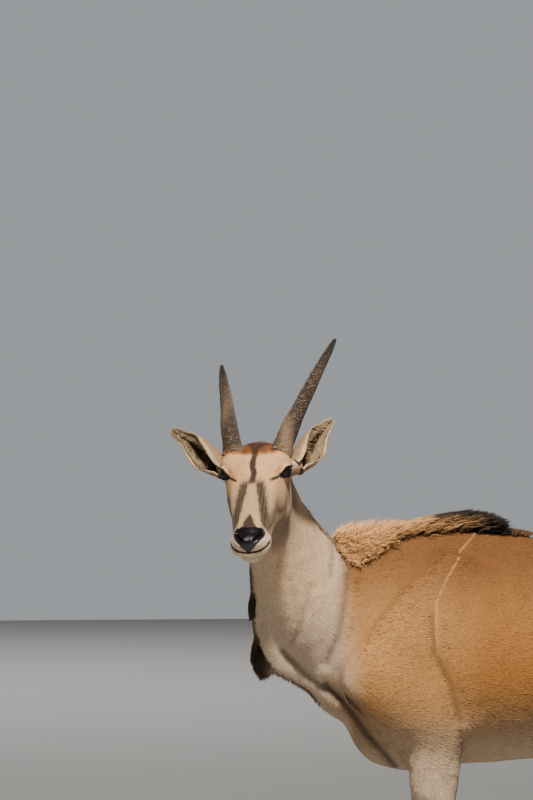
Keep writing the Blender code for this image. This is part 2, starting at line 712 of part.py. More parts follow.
def crest_locks(torso, group):
    """Rows of locks along the withers, upright in the middle and fallen at the sides."""
    skin = skin_of(torso)
    draw = random.Random(11)
    for offset, count, fall in CREST_ROWS:
        for side in (-1, 1):
            for n in range(count):
                place = (n + 0.5 + 0.25 * side + draw.uniform(-0.12, 0.12)) / count
                x = CREST_REACH[0] + (CREST_REACH[1] - CREST_REACH[0]) * place
                y = side * offset + draw.uniform(-0.003, 0.003)
                root = meet(skin, (x, y, 1.60), (0, 0, -1))
                if root is None:
                    continue
                tall = np.interp(x + 0.025, CREST_X, CREST_TOP) - root[2]
                lean = np.interp(x, (-0.16, 0.02, 0.20, 0.33), (0.25, 0.55, 0.75, 1.10))
                out = side * fall + draw.uniform(-0.15, 0.15)
                grow = (0.5 * lean, 0.6 * out, 1.0 - 0.3 * fall)
                lie = (0.4 + lean, 0.7 * out, 0.60 - 0.85 * fall - 0.25 * lean)
                rise = 0.42 * unit(grow)[2] + 0.62 * unit(lie)[2]
                length = tall / max(rise, 0.45) if fall < 0.3 else tall * (1.25 - 0.25 * fall)
                length = np.clip(length, 0.040, 0.105) * draw.uniform(0.90, 1.05)
                lock(f"crest_{offset}_{side}_{n}", root, grow, lie, length, *CREST_LOCK, group,
                     face=(0, side, 0.9 * fall))


def nape_locks(neck, group):
    """A short fringe along the nape, lying back towards the withers."""
    skin = skin_of(neck)
    draw = random.Random(5)
    side = np.column_stack((np.sin(NECK_TURN), -np.cos(NECK_TURN), 0 * NECK_TURN))
    rows = smooth_rows(np.column_stack((NECK_LINE, side)), 60)
    tangents = unit(np.gradient(rows[:, :3], axis=0))
    for n in range(NAPE_LOCKS):
        i = int(25 + 24 * (n + 0.5) / NAPE_LOCKS)
        up = unit(np.cross(tangents[i], rows[i, 3:]))
        shift = unit(rows[i, 3:]) * draw.uniform(-0.010, 0.010)
        root = meet(skin, rows[i, :3] + up * 0.35 + shift, -up)
        if root is None:
            continue
        lie = up * 0.55 - tangents[i] + 8 * shift
        length, width, thick = NAPE_LOCK
        lock(f"nape_{n}", root, up - 0.3 * tangents[i], lie, length * draw.uniform(0.85, 1.15), width,
             thick, group, face=rows[i, 3:], rings=3, sink=0.010)


def dewlap_locks(neck, group):
    """The dark tufts on the dewlap: one at its lowest corner and one higher up."""
    skin = skin_of(neck)
    draw = random.Random(3)
    rows = smooth_rows(DEWLAP_LINE, 121)
    tangents = unit(np.gradient(rows, axis=0))
    for first, last, count, (length, width, thick) in TUFTS:
        for n in range(count):
            place = (n + 0.5) / count
            i = int(np.argmin(np.abs(rows[:, 2] - first - (last - first) * place)))
            out = unit(np.cross(tangents[i], (0.0, -1.0, 0.0)))
            spread = n % 3 - 1
            root = meet(skin, rows[i] + out * 0.20 + (0.0, 0.009 * spread, 0.0), -out)
            if root is None:
                continue
            grow = 0.6 * out + (-0.1, 0.30 * spread, -0.7)
            lie = 0.10 * out + (-0.05, 0.16 * spread + draw.uniform(-0.06, 0.06), -1.0)
            size = length * (0.80 + 0.35 * math.sin(math.pi * place)) * draw.uniform(0.9, 1.1)
            lock(f"tuft_{count}_{n}", root, grow, lie, size, width, thick, group,
                 face=(0.5 * spread, 1.0, 0.0), sink=0.010)


def tail_locks(core, group):
    """Long locks that hang round the end of the tail."""
    skin = skin_of(core)
    draw = random.Random(9)
    for n in range(TAIL_LOCKS):
        place = (n + 0.5) / TAIL_LOCKS
        height = 0.722 - 0.105 * place
        turn = n * math.radians(137.5)
        out = np.array((math.cos(turn), math.sin(turn), 0.0))
        middle = np.array((1.421, 0.0, height))
        root = meet(skin, middle + out * 0.10, -out)
        if root is None:
            continue
        length, width, thick = TAIL_LOCK
        grow = 0.45 * out + (0, 0, -1.0)
        lie = -0.04 * out + (0.05, 0, -1.0)
        lock(f"tail_{n}", root, grow, lie, length * (1.0 - 0.25 * (1 - place)) * draw.uniform(0.9, 1.1),
             width, thick, group, sink=0.012)


# Head parts

def ball(name, centre, radii, axes, group, segments=20, rings=12):
    """A sphere drawn out to three radii along three axes."""
    mesh = bpy.data.meshes.new(name)
    shape = bmesh.new()
    bmesh.ops.create_uvsphere(shape, u_segments=segments, v_segments=rings, radius=1.0)
    rows = np.asarray(axes, float) * np.asarray(radii, float)[:, None]
    turn = Matrix(rows.T.tolist()).to_4x4()
    bmesh.ops.transform(shape, matrix=Matrix.Translation(Vector(centre)) @ turn, verts=shape.verts)
    if turn.determinant() < 0:
        bmesh.ops.reverse_faces(shape, faces=shape.faces)
    shape.to_mesh(mesh)
    shape.free()
    thing = bpy.data.objects.new(name, mesh)
    group.objects.link(thing)
    return thing


def horn(name, group):
    """A straight tapering horn with a ridge that winds round its lower half."""
    sign = 1 if name == "left" else -1
    length = HORN_LENGTH[name]
    aim = unit(np.array(mirrored(HORN_AIM[name], sign)) @ HEAD_AXES)
    root = on_head(mirrored(HORN_ROOT, sign)) + aim * (HORN_SEAT + GAP)
    across = unit(np.cross(aim, HEAD_AXES[2]))
    up = np.cross(across, aim)
    rings, sides = 18, 9
    s = np.linspace(0, 1, rings)[:, None]
    angle = np.linspace(0, 2 * math.pi, sides, endpoint=False)[None, :]
    radius = HORN_RADIUS * (0.33 + 0.67 * (1 - s) ** 0.85) * (1 - 0.50 * s ** 12)
    strength = np.clip(1.25 - 1.7 * s, 0, 1)
    wave = 0.5 + 0.5 * np.cos(angle - sign * 2 * math.pi * HORN_TURNS * s ** 0.8)
    radius = radius * (1 + strength * (0.20 * wave ** 3 - 0.05))
    bow = up * 0.012 * np.sin(math.pi * s)
    centre = root + aim * length * s + bow
    points = (centre[:, None, :] + radius[:, :, None] * (np.cos(angle)[..., None] * across
              + np.sin(angle)[..., None] * up))
    points[0] -= ((points[0] - root) @ aim)[:, None] * aim
    points = points.reshape(-1, 3)
    points = np.vstack((points, root + aim * (length + 0.004)))
    faces = [[r * sides + c, r * sides + (c + 1) % sides, (r + 1) * sides + (c + 1) % sides,
              (r + 1) * sides + c] for r in range(rings - 1) for c in range(sides)]
    end = rings * sides
    faces += [[end - sides + c, end - sides + (c + 1) % sides, end] for c in range(sides)]
    faces.append(list(range(sides))[::-1])
    thing = new_object("horn_" + name, points, faces, group)
    outward(thing)
    thing.data.materials.append(material("horn brown"))
    return thing


def outward(thing):
    """Turns an object's faces outwards."""
    mesh = bmesh.new()
    mesh.from_mesh(thing.data)
    bmesh.ops.recalc_face_normals(mesh, faces=mesh.faces)
    mesh.to_mesh(thing.data)
    mesh.free()


HORN_SEAT = 0.000                  # how far out along the horn its root plane lies
EAR_SEAT = 0.014                   # the same for the ear
HORN_BORE = 0.0300                 # radius of the flesh cleared round a horn


def ear_frame(name):
    """Root, aim, across and opening directions of an ear, in the world."""
    sign = 1 if name == "left" else -1
    aim = unit(np.array(mirrored(EAR_AIM[name], sign)) @ HEAD_AXES)
    root = on_head(mirrored(EAR_ROOT, sign))
    facing = unit(np.array((0.80, 0.35 * sign, 0.48)) @ HEAD_AXES)
    facing = unit(facing - aim * (facing @ aim))
    return root, aim, np.cross(facing, aim), facing


def ear(name, group, cutters):
    """A leaf-shaped ear, rolled to a tube at its root and open as a cup above."""
    root, aim, across, facing = ear_frame(name)
    rows, columns = 11, 7
    s = np.linspace(0, 1, rows)[:, None]
    v = np.linspace(-1, 1, columns)[None, :]
    half = EAR_WIDTH / 2 * (0.52 + 0.48 * np.sin(math.pi * np.clip(s * 1.15 + 0.10, 0, 1)) ** 0.8)
    half = half * np.sqrt(np.clip(1 - np.clip((s - 0.30) / 0.72, 0, 1) ** 2.4, 0, 1)) + 0.0015
    roll = math.radians(118) * (1 - s) ** 1.1 + math.radians(42)
    bend = roll * v
    radius = half / np.sin(np.clip(roll, 0, math.pi / 2)) * np.ones_like(v)
    x = radius * np.sin(bend)
    depth = radius * (1 - np.cos(bend))
    lean = -0.020 * np.sin(math.pi * s / 2) ** 2
    origin = root + aim * (EAR_SEAT + GAP)
    place = (origin + aim * (EAR_LENGTH * s - 0.004)[..., None] + across * x[..., None]
             + facing * (depth + lean - half * 0.9)[..., None])
    faces = [[r * columns + c, r * columns + c + 1, (r + 1) * columns + c + 1, (r + 1) * columns + c]
             for r in range(rows - 1) for c in range(columns - 1)]
    thing = new_object("ear_" + name, place.reshape(-1, 3), faces, group)
    wall = thing.modifiers.new("wall", "SOLIDIFY")
    wall.thickness = EAR_WALL
    wall.offset = 0.0
    finish_mesh(thing)
    outward(thing)
    seat = side_of("ear_seat", origin, aim, (0.06, 0.06, 0.15), 0.0, cutters)
    combine(thing, seat, "INTERSECT")
    keep_largest(thing)
    thing.data.materials.append(material("grey fawn"))
    return thing


def eye(name, group):
    """An eyeball."""
    sign = 1 if name == "left" else -1
    thing = ball("eye_" + name, on_head(mirrored(EYE_PLACE, sign)), (EYE_RADIUS,) * 3, HEAD_AXES,
                 group, 12, 8)
    thing.data.materials.append(material("eye"))
    thing.data.shade_smooth()
    return thing


def eye_cutters(sign, group):
    """The socket and the almond opening between the lids."""
    centre = on_head(mirrored(EYE_PLACE, sign))
    look = unit(np.array(mirrored(EYE_LOOK, sign)) @ HEAD_AXES)
    slit = unit(np.array((0.93, -0.30 * sign, -0.20)) @ HEAD_AXES)
    slit = unit(slit - look * (slit @ look))
    axes = (slit, np.cross(look, slit), look)
    socket = ball("socket", centre, (EYE_RADIUS + GAP,) * 3, HEAD_AXES, group, 12, 8)
    almond = ball("almond", centre + look * 0.022, (0.0205, 0.0138, 0.020), axes, group, 16, 10)
    return [as_cutter(socket, group), as_cutter(almond, group)]


def mouth_cutter(group):
    """A thin band round the muzzle that cuts the line of the mouth."""
    turn = np.radians(np.linspace(-112, 112, 17))
    inner = np.column_stack((0.197 + 0.058 * np.cos(turn), 0.033 * np.sin(turn)))
    outer = np.column_stack((0.197 + 0.100 * np.cos(turn), 0.075 * np.sin(turn)))
    level = -0.0370 - 0.006 * (1 - np.cos(turn)) * 0.5
    points = []
    for n in range(len(turn)):
        for row, lift in ((inner, -0.0004), (outer, -0.0014), (outer, 0.0014), (inner, 0.0004)):
            points.append((row[n, 0], row[n, 1], level[n] + lift))
    faces = [[4 * n + c, 4 * n + (c + 1) % 4, 4 * n + 4 + (c + 1) % 4, 4 * n + 4 + c]
             for n in range(len(turn) - 1) for c in range(4)]
    faces += [[0, 1, 2, 3], [len(points) - 4 + c for c in range(4)]]
    thing = new_object("mouth_line", on_head(points), faces, group)
    outward(thing)
    return as_cutter(thing, group)


def nostril_cutters(sign, group):
    """The comma-shaped nostril on one side of the nose."""
    hole = unit(np.array((0.55, 0.75 * sign, 0.10)) @ HEAD_AXES)
    tall = unit(np.array((-0.45, 0.35 * sign, 0.80)) @ HEAD_AXES)
    tall = unit(tall - hole * (tall @ hole))
    axes = (tall, np.cross(hole, tall), hole)
    thing = ball("nostril", on_head((0.2670, 0.0225 * sign, 0.001)), (0.0095, 0.0048, 0.010),
                 axes, group, 10, 6)
    return [as_cutter(thing, group)]


# Hooves

def hoof(name, x, y, inner, group):
    """One toe of a cloven hoof: a wedge from the sloping coronet to the ground."""
    sides = 12
    angle = np.linspace(0, 2 * math.pi, sides, endpoint=False)
    rings = []
    for t in (0.0, 0.12, 0.55, 1.0):
        length = HOOF_LENGTH * (1.0 - 0.30 * t)
        width = HOOF_WIDTH * (1.0 - 0.10 * t)
        shift = 0.012 * t
        along = -np.cos(angle) * length / 2
        narrow = 1 - 0.42 * np.clip(np.cos(angle), 0, 1) ** 1.5
        across = np.sin(angle) * width / 2 * narrow
        across = np.where(across * inner < 0, across * 0.82, across)
        px = x - 0.028 + along + shift
        height = coronet_height(x, px) - GAP * 1.2
        bevel = 0.0022 if t == 0.0 else 0.0
        rings.append(np.column_stack((px + np.cos(angle) * bevel, y + across - np.sin(angle) * bevel,
                                      height * t)))
    points = np.vstack(rings)
    faces = [[r * sides + c, r * sides + (c + 1) % sides, (r + 1) * sides + (c + 1) % sides,
              (r + 1) * sides + c] for r in range(3) for c in range(sides)]
    faces += [list(range(sides))[::-1], [3 * sides + c for c in range(sides)]]
    thing = new_object(name, points, faces, group)
    outward(thing)
    thing.data.materials.append(material("hoof"))
    return thing


def coronet_height(x, px):
    """Height of the plane where flesh meets hoof, falling towards the heel."""
    return CORONET_FRONT - CORONET_SLOPE * (px - (x - 0.070))


def foot_block(name, x, y, group):
    """The block below the coronet plane that the hooves fill."""
    thing = cutter_box(name, (x, y, 0.0), np.eye(3), (0.16, 0.09, 0.05), group)
    for vertex in thing.data.vertices:
        if vertex.co.z > 0:
            vertex.co.z = coronet_height(x, vertex.co.x)
    return thing


# The parts

def build():
    """Makes every part of the animal."""
    clear_scene()
    animal = collection("eland")
    cutters = collection("cutters")
    hair = collection("hair")
    forms = body_forms()

    torso = flesh("torso", forms, (-0.40, -0.36, 0.60), (1.42, 0.36, 1.44), 0.015, 1850, animal)
    neck = flesh("neck", forms, (-0.50, -0.36, 0.80), (-0.02, 0.26, 1.66), 0.011, 1400, animal)
    head = flesh("head", forms, (-0.62, -0.58, 1.22), (-0.22, 0.02, 1.72), 0.0045, 2450, animal)

    crest_locks(torso, hair)
    join_locks(torso, hair)
    nape_locks(neck, hair)
    dewlap_locks(neck, hair)
    join_locks(neck, hair)

    for operation, grow, thing in (("DIFFERENCE", GAP, torso), ("INTERSECT", 0.0, neck)):
        block = side_of("neck_side", *NECK_CUT, (0.60, 0.60, 0.40), grow, cutters)
        combine(thing, block, operation)
    for operation, grow, thing in (("DIFFERENCE", GAP, neck), ("INTERSECT", 0.0, head)):
        block = side_of("head_side", *HEAD_CUT, (0.40, 0.40, 0.30), grow, cutters)
        combine(thing, block, operation)
    keep_largest(neck)
    keep_largest(head)

    for sign, name in ((1, "left"), (-1, "right")):
        direction = unit(np.array(mirrored(HORN_AIM[name], sign)) @ HEAD_AXES)
        point = on_head(mirrored(HORN_ROOT, sign)) + direction * HORN_SEAT
        combine(head, round_seat(point, direction, HORN_BORE, 0.12, cutters), "DIFFERENCE")
        direction = unit(np.array(mirrored(EAR_AIM[name], sign)) @ HEAD_AXES)
        point = on_head(mirrored(EAR_ROOT, sign)) + direction * EAR_SEAT
        block = side_of("seat", point, direction, (0.036, 0.036, 0.05), 0.0, cutters)
        combine(head, block, "DIFFERENCE")
        for tool in eye_cutters(sign, cutters) + nostril_cutters(sign, cutters):
            combine(head, tool, "DIFFERENCE")
        horn(name, animal)
        ear(name, animal, cutters)
        eye(name, animal)
    combine(head, mouth_cutter(cutters), "DIFFERENCE")
    keep_largest(head)

    tail_block = side_of("tail_side", *TAIL_CUT, (0.055, 0.08, 0.30), 0.0, cutters)
    combine(torso, tail_block, "DIFFERENCE")
    make_tail(animal, cutters, hair)

    for name, sign in SIDES.items():
        make_leg(name, "fore", forms, torso, animal, cutters)
        make_leg(name, "hind", forms, torso, animal, cutters)
    keep_largest(torso)
    for thing, colour in ((torso, "tawny"), (neck, "grey fawn"), (head, "grey fawn")):
        thing.data.materials.append(material(colour))
    settle(animal)


def make_tail(animal, cutters, hair):
    """The tail with its root against the rump, and the tuft at its end."""
    form = limb(TAIL_LINE, (0, 1, 0), TAIL_RADIUS, TAIL_RADIUS, 0.01, samples=24)
    tail = flesh("tail", [form], form[0] - 0.01, form[1] + 0.01, 0.006, 260, animal)
    block = side_of("tail_end", *TAIL_CUT, (0.12, 0.90, 0.90), -GAP, cutters)
    combine(tail, block, "INTERSECT")
    end = side_of("tuft_side", (1.421, 0, 0.740), (0, 0, -1), (0.2, 0.2, 0.4), GAP, cutters)
    combine(tail, end, "DIFFERENCE")
    tail.data.materials.append(material("tawny"))
    form = limb([(1.421, 0, 0.760), (1.421, 0, 0.70), (1.422, 0, 0.65), (1.423, 0, 0.61)], (0, 1, 0),
                [0.011, 0.012, 0.008, 0.004], [0.011, 0.012, 0.008, 0.004], 0.01)
    tuft = flesh("tail_tuft", [form], form[0] - 0.01, form[1] + 0.01, 0.004, 120, animal)
    tail_locks(tuft, hair)
    join_locks(tuft, hair)
    end = side_of("tuft_keep", (1.421, 0, 0.740), (0, 0, -1), (0.2, 0.2, 0.4), 0.0, cutters)
    combine(tuft, end, "INTERSECT")
    tuft.data.materials.append(material("black hair"))


def make_leg(name, place, forms, torso, animal, cutters):
    """Upper leg, lower leg, foot and the two toes of one leg."""
    fore = place == "fore"
    xs, ys = block_ranges(name, place)
    top = (fore_top if fore else hind_top)(SIDES[name])
    x = FORE_X[name] if fore else HIND_X[name] + 0.006
    y = SIDES[name] * (FORE_Y if fore else HIND_Y)
    cut = KNEE_CUT if fore else HOCK_CUT
    wide = 0.14 if fore else 0.26
    block = leg_block("block", xs, ys, top, GAP, cutters)
    combine(torso, block, "DIFFERENCE")

    upper_box = ((xs[0] - 0.03, ys[0] - 0.03, cut - 0.08), (min(xs[1], 1.42) + 0.03, ys[1] + 0.03, 1.10))
    upper = flesh(f"{place}leg_{name}_upper", forms, *upper_box, 0.009, 560 if fore else 720, animal)
    combine(upper, leg_block("block", xs, ys, top, 0.0, cutters), "INTERSECT")
    below = side_of("below", (x, y, cut), (0, 0, -1), (0.40, 0.12, 0.4), GAP, cutters)
    combine(upper, below, "DIFFERENCE")

    lower_box = ((x - wide, y - 0.09, FETLOCK_CUT - 0.05), (x + wide, y + 0.09, cut + 0.05))
    lower = flesh(f"{place}leg_{name}_lower", forms, *lower_box, 0.0065, 310, animal)
    combine(lower, side_of("keep", (x, y, cut), (0, 0, -1), (0.40, 0.12, 0.4), 0.0, cutters),
            "INTERSECT")
    combine(lower, side_of("below", (x, y, FETLOCK_CUT), (0, 0, -1), (0.40, 0.12, 0.4), GAP, cutters),
            "DIFFERENCE")

    foot_box = ((x - 0.12, y - 0.075, 0.0), (x + 0.08, y + 0.075, FETLOCK_CUT + 0.03))
    foot = flesh(f"{place}foot_{name}", forms, *foot_box, 0.005, 290, animal)
    combine(foot, side_of("keep", (x, y, FETLOCK_CUT), (0, 0, -1), (0.40, 0.12, 0.4), 0.0, cutters),
            "INTERSECT")
    combine(foot, foot_block("coronet", x, y, cutters), "DIFFERENCE")
    for thing in (upper, lower, foot):
        keep_largest(thing)
        thing.data.materials.append(material("pale leg"))
    for label, inner in (("outer", 1), ("inner", -1)):
        out = SIDES[name] * inner
        toe_y = y + out * (HOOF_WIDTH + HOOF_CLEFT) / 2
        hoof(f"{place}hoof_{name}_{label}", x, toe_y, out, animal)


def settle(group):
    """Moves the whole animal so that its box stands centred on the origin."""
    places = [v.co for thing in group.objects for v in thing.data.vertices]
    low = np.array(places).min(axis=0)
    high = np.array(places).max(axis=0)
    shift = Vector((-(low[0] + high[0]) / 2, -(low[1] + high[1]) / 2, -low[2]))
    for thing in group.objects:
        thing.data.transform(Matrix.Translation(shift))
        thing.data.set_sharp_from_angle(angle=math.radians(40))
        print(thing.name, len(thing.data.polygons), "faces")
    print("size", (high - low).round(3).tolist(), "shift", tuple(round(v, 4) for v in shift))


build()
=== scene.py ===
# %% [markdown]
# # An eland cow for a museum floor
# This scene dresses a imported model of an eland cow. The model's solids are the frame: they
# give every place and size, and nothing here moves them. Over the frame go one smooth skin,
# the short coat, the long hair, ears, horns, eyes and hooves. Each piece is worked out with
# numpy as whole arrays, because a curved body is easier to write as a formula than to click.

# %% Load the frame
import json
import math
import time

import bmesh
import bpy
import numpy as np
from mathutils import Matrix, Vector

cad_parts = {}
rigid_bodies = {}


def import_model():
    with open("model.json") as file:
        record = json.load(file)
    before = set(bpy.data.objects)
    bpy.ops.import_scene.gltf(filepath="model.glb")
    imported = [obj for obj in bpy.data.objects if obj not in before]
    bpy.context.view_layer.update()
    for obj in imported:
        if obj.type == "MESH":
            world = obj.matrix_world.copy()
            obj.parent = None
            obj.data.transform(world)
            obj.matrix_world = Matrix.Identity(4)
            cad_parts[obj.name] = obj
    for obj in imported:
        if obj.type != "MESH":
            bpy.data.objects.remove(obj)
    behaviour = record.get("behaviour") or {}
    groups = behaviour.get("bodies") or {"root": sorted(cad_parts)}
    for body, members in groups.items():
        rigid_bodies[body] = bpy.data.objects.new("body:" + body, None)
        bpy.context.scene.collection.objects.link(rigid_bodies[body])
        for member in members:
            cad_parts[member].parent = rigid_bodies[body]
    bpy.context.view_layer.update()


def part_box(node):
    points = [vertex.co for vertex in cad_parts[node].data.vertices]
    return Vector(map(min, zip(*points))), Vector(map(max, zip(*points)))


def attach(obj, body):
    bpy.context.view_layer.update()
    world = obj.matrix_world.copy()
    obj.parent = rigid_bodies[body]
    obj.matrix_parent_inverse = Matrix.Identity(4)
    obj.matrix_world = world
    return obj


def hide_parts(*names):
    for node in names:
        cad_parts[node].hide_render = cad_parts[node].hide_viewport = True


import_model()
STARTED = time.time()

# %% [markdown]
# ## Where the head is, and a frame of reference for the body
# The animal was designed with its shoulder at x = 0 and was then stood centred on the floor.
# Working in the design's own frame keeps the numbers readable, so the shift between the two is
# measured once, from the left eye of the frame, and added to every finished mesh.

# %% Directions of the head and the shift to the floor
HEAD_POINT = np.array((-0.435, -0.3025, 1.525))    # midway between the eyes
HEAD_TURN = math.radians(72.0)                     # from straight ahead to the left
HEAD_DROP = math.radians(43.0)                     # how far the nose points down
HEAD_LEAN = math.radians(2.3)                      # how far the head leans to its right
EYE_RADIUS = 0.0195
EYE_PLACE = (0.004, 0.0705, -0.001)                # forward, to the side, up
EYE_LOOK = (0.56, 0.78, 0.30)
HEAD_MIDDLE = (0.08, 0, -0.03)                     # where distances over the head start
SIDES = {"left": -1.0, "right": 1.0}               # sign of y on the body
HEAD_SIDES = {"left": 1, "right": -1}              # sign of the second number on the head


def unit(vector):
    """A vector, or each row of an array, scaled to length one."""
    vector = np.asarray(vector, float)
    return vector / np.maximum(np.linalg.norm(vector, axis=-1, keepdims=True), 1e-12)


def head_axes():
    """Rows: towards the nose, towards the head's left, up out of the face."""
    ahead = np.array((-math.cos(HEAD_TURN), -math.sin(HEAD_TURN), 0.0))
    level = np.array((0.0, 0.0, 1.0))
    up = math.cos(HEAD_LEAN) * level + math.sin(HEAD_LEAN) * np.cross(ahead, level)
    nose = math.cos(HEAD_DROP) * ahead - math.sin(HEAD_DROP) * up
    crown = math.sin(HEAD_DROP) * ahead + math.cos(HEAD_DROP) * up
    return np.array((nose, np.cross(crown, nose), crown))


HEAD_AXES = head_axes()


def on_head(place):
    """Turns places given as forward, left, up on the head into body places."""
    return HEAD_POINT + np.asarray(place, float) @ HEAD_AXES


def head_turned(direction):
    """Turns a direction given on the head into a body direction of length one."""
    return unit(np.asarray(direction, float) @ HEAD_AXES)


def mirrored(place, sign):
    """A place on the head's left for sign 1, on its right for -1."""
    return (place[0], place[1] * sign, place[2])


eye_low, eye_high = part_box("eye_left")
SHIFT = (np.array(eye_low) + np.array(eye_high)) / 2 - on_head(EYE_PLACE)
print("shift from the design frame to the floor frame:", SHIFT.round(4).tolist())

# %% [markdown]
# ## The camera
# The photograph looks at the left side, a little from the front, level with the nape, from
# about 12 m away through a long lens. The camera stands at that place and is aimed at the
# middle of the picture, so it needs no shift.

# %% Camera at the photograph's angle
PHOTO_WIDTH, PHOTO_HEIGHT = 533, 800
PIXELS_PER_METRE = 385.0                  # at the body's middle
ORIGIN_PIXEL = (400.0, 445.0)             # the design frame's x = 0 at the camera's height
CAMERA_HEIGHT = 1.59
CAMERA_DISTANCE = 12.0
CAMERA_AZIMUTH = math.radians(-12.0)
SENSOR = 36.0

view_right = np.array((math.cos(CAMERA_AZIMUTH), math.sin(CAMERA_AZIMUTH), 0.0))
view_back = np.array((math.sin(CAMERA_AZIMUTH), -math.cos(CAMERA_AZIMUTH), 0.0))
camera_place = SHIFT + (0, 0, CAMERA_HEIGHT) + view_back * CAMERA_DISTANCE
aside = (PHOTO_WIDTH / 2 - ORIGIN_PIXEL[0]) / PIXELS_PER_METRE
above = (ORIGIN_PIXEL[1] - PHOTO_HEIGHT / 2) / PIXELS_PER_METRE
camera_target = SHIFT + (0, 0, CAMERA_HEIGHT + above) + view_right * aside

camera_data = bpy.data.cameras.new("camera")
camera_data.sensor_fit = "HORIZONTAL"
camera_data.sensor_width = SENSOR
camera_data.lens = SENSOR * PIXELS_PER_METRE * CAMERA_DISTANCE / PHOTO_WIDTH
camera_data.clip_end = 100.0
camera = bpy.data.objects.new("camera", camera_data)
bpy.context.scene.collection.objects.link(camera)
camera.location = camera_place
camera.rotation_euler = Vector(camera_target - camera_place).to_track_quat("-Z", "Y").to_euler()
bpy.context.scene.camera = camera
print("lens", round(camera_data.lens, 1), "mm; camera at", np.round(camera_place, 2).tolist())

# %% [markdown]
# ## Floor and light
# A museum photographs such a model on a plain pale floor under one main lamp and some fill.
# The main lamp hangs high in front of the left side, as the sun does in the photograph, and it
# is small, so that the head's shadow on the neck keeps an edge. A second lamp behind the model
# lights only the far floor. The surroundings glow low down, like a pale wall, and are dim
# above: a bright sky would fill the shadows and wash the coat out.

# %% Floor and lamps
def soft_lamp(name, place, target, size, power, colour):
    """A square lamp at a place, turned towards a target."""
    data = bpy.data.lights.new(name, "AREA")
    data.size = size
    data.energy = power
    data.color = colour
    lamp = bpy.data.objects.new(name, data)
    lamp.location = place
    lamp.rotation_euler = (Vector(target) - Vector(place)).to_track_quat("-Z", "Y").to_euler()
    bpy.context.scene.collection.objects.link(lamp)
    return lamp


FLOOR_HALF = 30.0
floor_mesh = bpy.data.meshes.new("floor")
floor_mesh.from_pydata([(-FLOOR_HALF, -FLOOR_HALF, 0), (FLOOR_HALF, -FLOOR_HALF, 0),
                        (FLOOR_HALF, FLOOR_HALF, 0), (-FLOOR_HALF, FLOOR_HALF, 0)],
                       [], [(0, 1, 2, 3)])
floor = bpy.data.objects.new("floor", floor_mesh)
bpy.context.scene.collection.objects.link(floor)
floor_material = bpy.data.materials.new("pale floor")
floor_material.use_nodes = True
floor_shader = floor_material.node_tree.nodes["Principled BSDF"]
floor_shader.inputs["Base Color"].default_value = (0.36, 0.355, 0.345, 1.0)
floor_shader.inputs["Roughness"].default_value = 0.85
floor_mesh.materials.append(floor_material)

CHEST = (-0.2, 0.0, 1.1)
soft_lamp("key", (-1.0, -4.5, 7.3), CHEST, 0.8, 1950.0, (1.0, 0.95, 0.88))
soft_lamp("fill", (-5.0, -4.5, 1.8), CHEST, 4.0, 5.0, (0.92, 0.96, 1.0))
soft_lamp("rim", (3.5, 4.5, 4.5), CHEST, 3.0, 70.0, (1.0, 0.98, 0.95))
soft_lamp("backdrop", (0.0, 19.0, 9.0), (0.0, 19.01, 0.0), 12.0, 1500.0, (1.0, 0.99, 0.97))

WALL_TOP = 0.11                    # height of the pale wall, as the sine of its angle over the floor
WALL_GLOW = 0.40                   # strength of the world low down
SKY_GLOW = 0.05                    # and above
world = bpy.data.worlds.new("studio")
world.use_nodes = True
world.node_tree.nodes["Background"].inputs["Color"].default_value = (0.86, 0.90, 0.94, 1.0)
nodes, links = world.node_tree.nodes, world.node_tree.links
heading = nodes.new("ShaderNodeTexCoord")
parts = nodes.new("ShaderNodeSeparateXYZ")
wall = nodes.new("ShaderNodeMapRange")
wall.inputs["From Min"].default_value = WALL_TOP
wall.inputs["From Max"].default_value = WALL_TOP * 2.2
wall.inputs["To Min"].default_value = WALL_GLOW
wall.inputs["To Max"].default_value = SKY_GLOW
links.new(heading.outputs["Generated"], parts.inputs["Vector"])
links.new(parts.outputs["Z"], wall.inputs["Value"])
links.new(wall.outputs["Result"], nodes["Background"].inputs["Strength"])
bpy.context.scene.world = world
print("lamps and floor are in place")

# %% [markdown]
# ## The body as one blend of rounded forms
# A real body is muscle, fat and bone under one skin. A mesh could be sculpted by hand, but a
# blend of rounded forms is shorter and exact: each form is a distance that is negative inside,
# and a soft minimum of all of them gives one surface without a seam. The same driving sizes
# shaped the frame's solids, so the skin lies in them.

# %% Two kinds of rounded form
def smooth_rows(rows, samples):
    """Rows of values carried along a Catmull-Rom curve that passes through all of them."""
    rows = np.asarray(rows, float)
    padded = np.vstack((2 * rows[0] - rows[1], rows, 2 * rows[-1] - rows[-2]))
    place = np.linspace(0, len(rows) - 1 - 1e-9, samples)
    index = place.astype(int)
    t = (place - index)[:, None]
    a, b, c, d = (padded[index + step] for step in range(4))
    return 0.5 * (2 * b + (c - a) * t + (2 * a - 5 * b + 4 * c - d) * t ** 2
                  + (3 * b - a - 3 * c + d) * t ** 3)


def oval_distance(local, radii):
    """With q the place in the oval's frame: |q/r| (|q/r| - 1) / |q/r^2|, about a distance."""
    near = np.sqrt(((local / radii) ** 2).sum(axis=-1)) + 1e-9
    slope = np.sqrt(((local / radii ** 2) ** 2).sum(axis=-1)) + 1e-9
    return near * (near - 1) / slope


def ellipsoid(centre, radii, blend, axes=None, carve=False):
    """A rounded form with three radii along its axes."""
    centre = np.asarray(centre, float)
    radii = np.asarray(radii, float)
    axes = np.eye(3) if axes is None else np.asarray(axes, float)
    reach = np.sqrt(((axes * radii[:, None]) ** 2).sum(axis=0))

    def distance(points):
        return oval_distance((points - centre) @ axes.T, radii)

    return centre - reach, centre + reach, blend, distance, carve


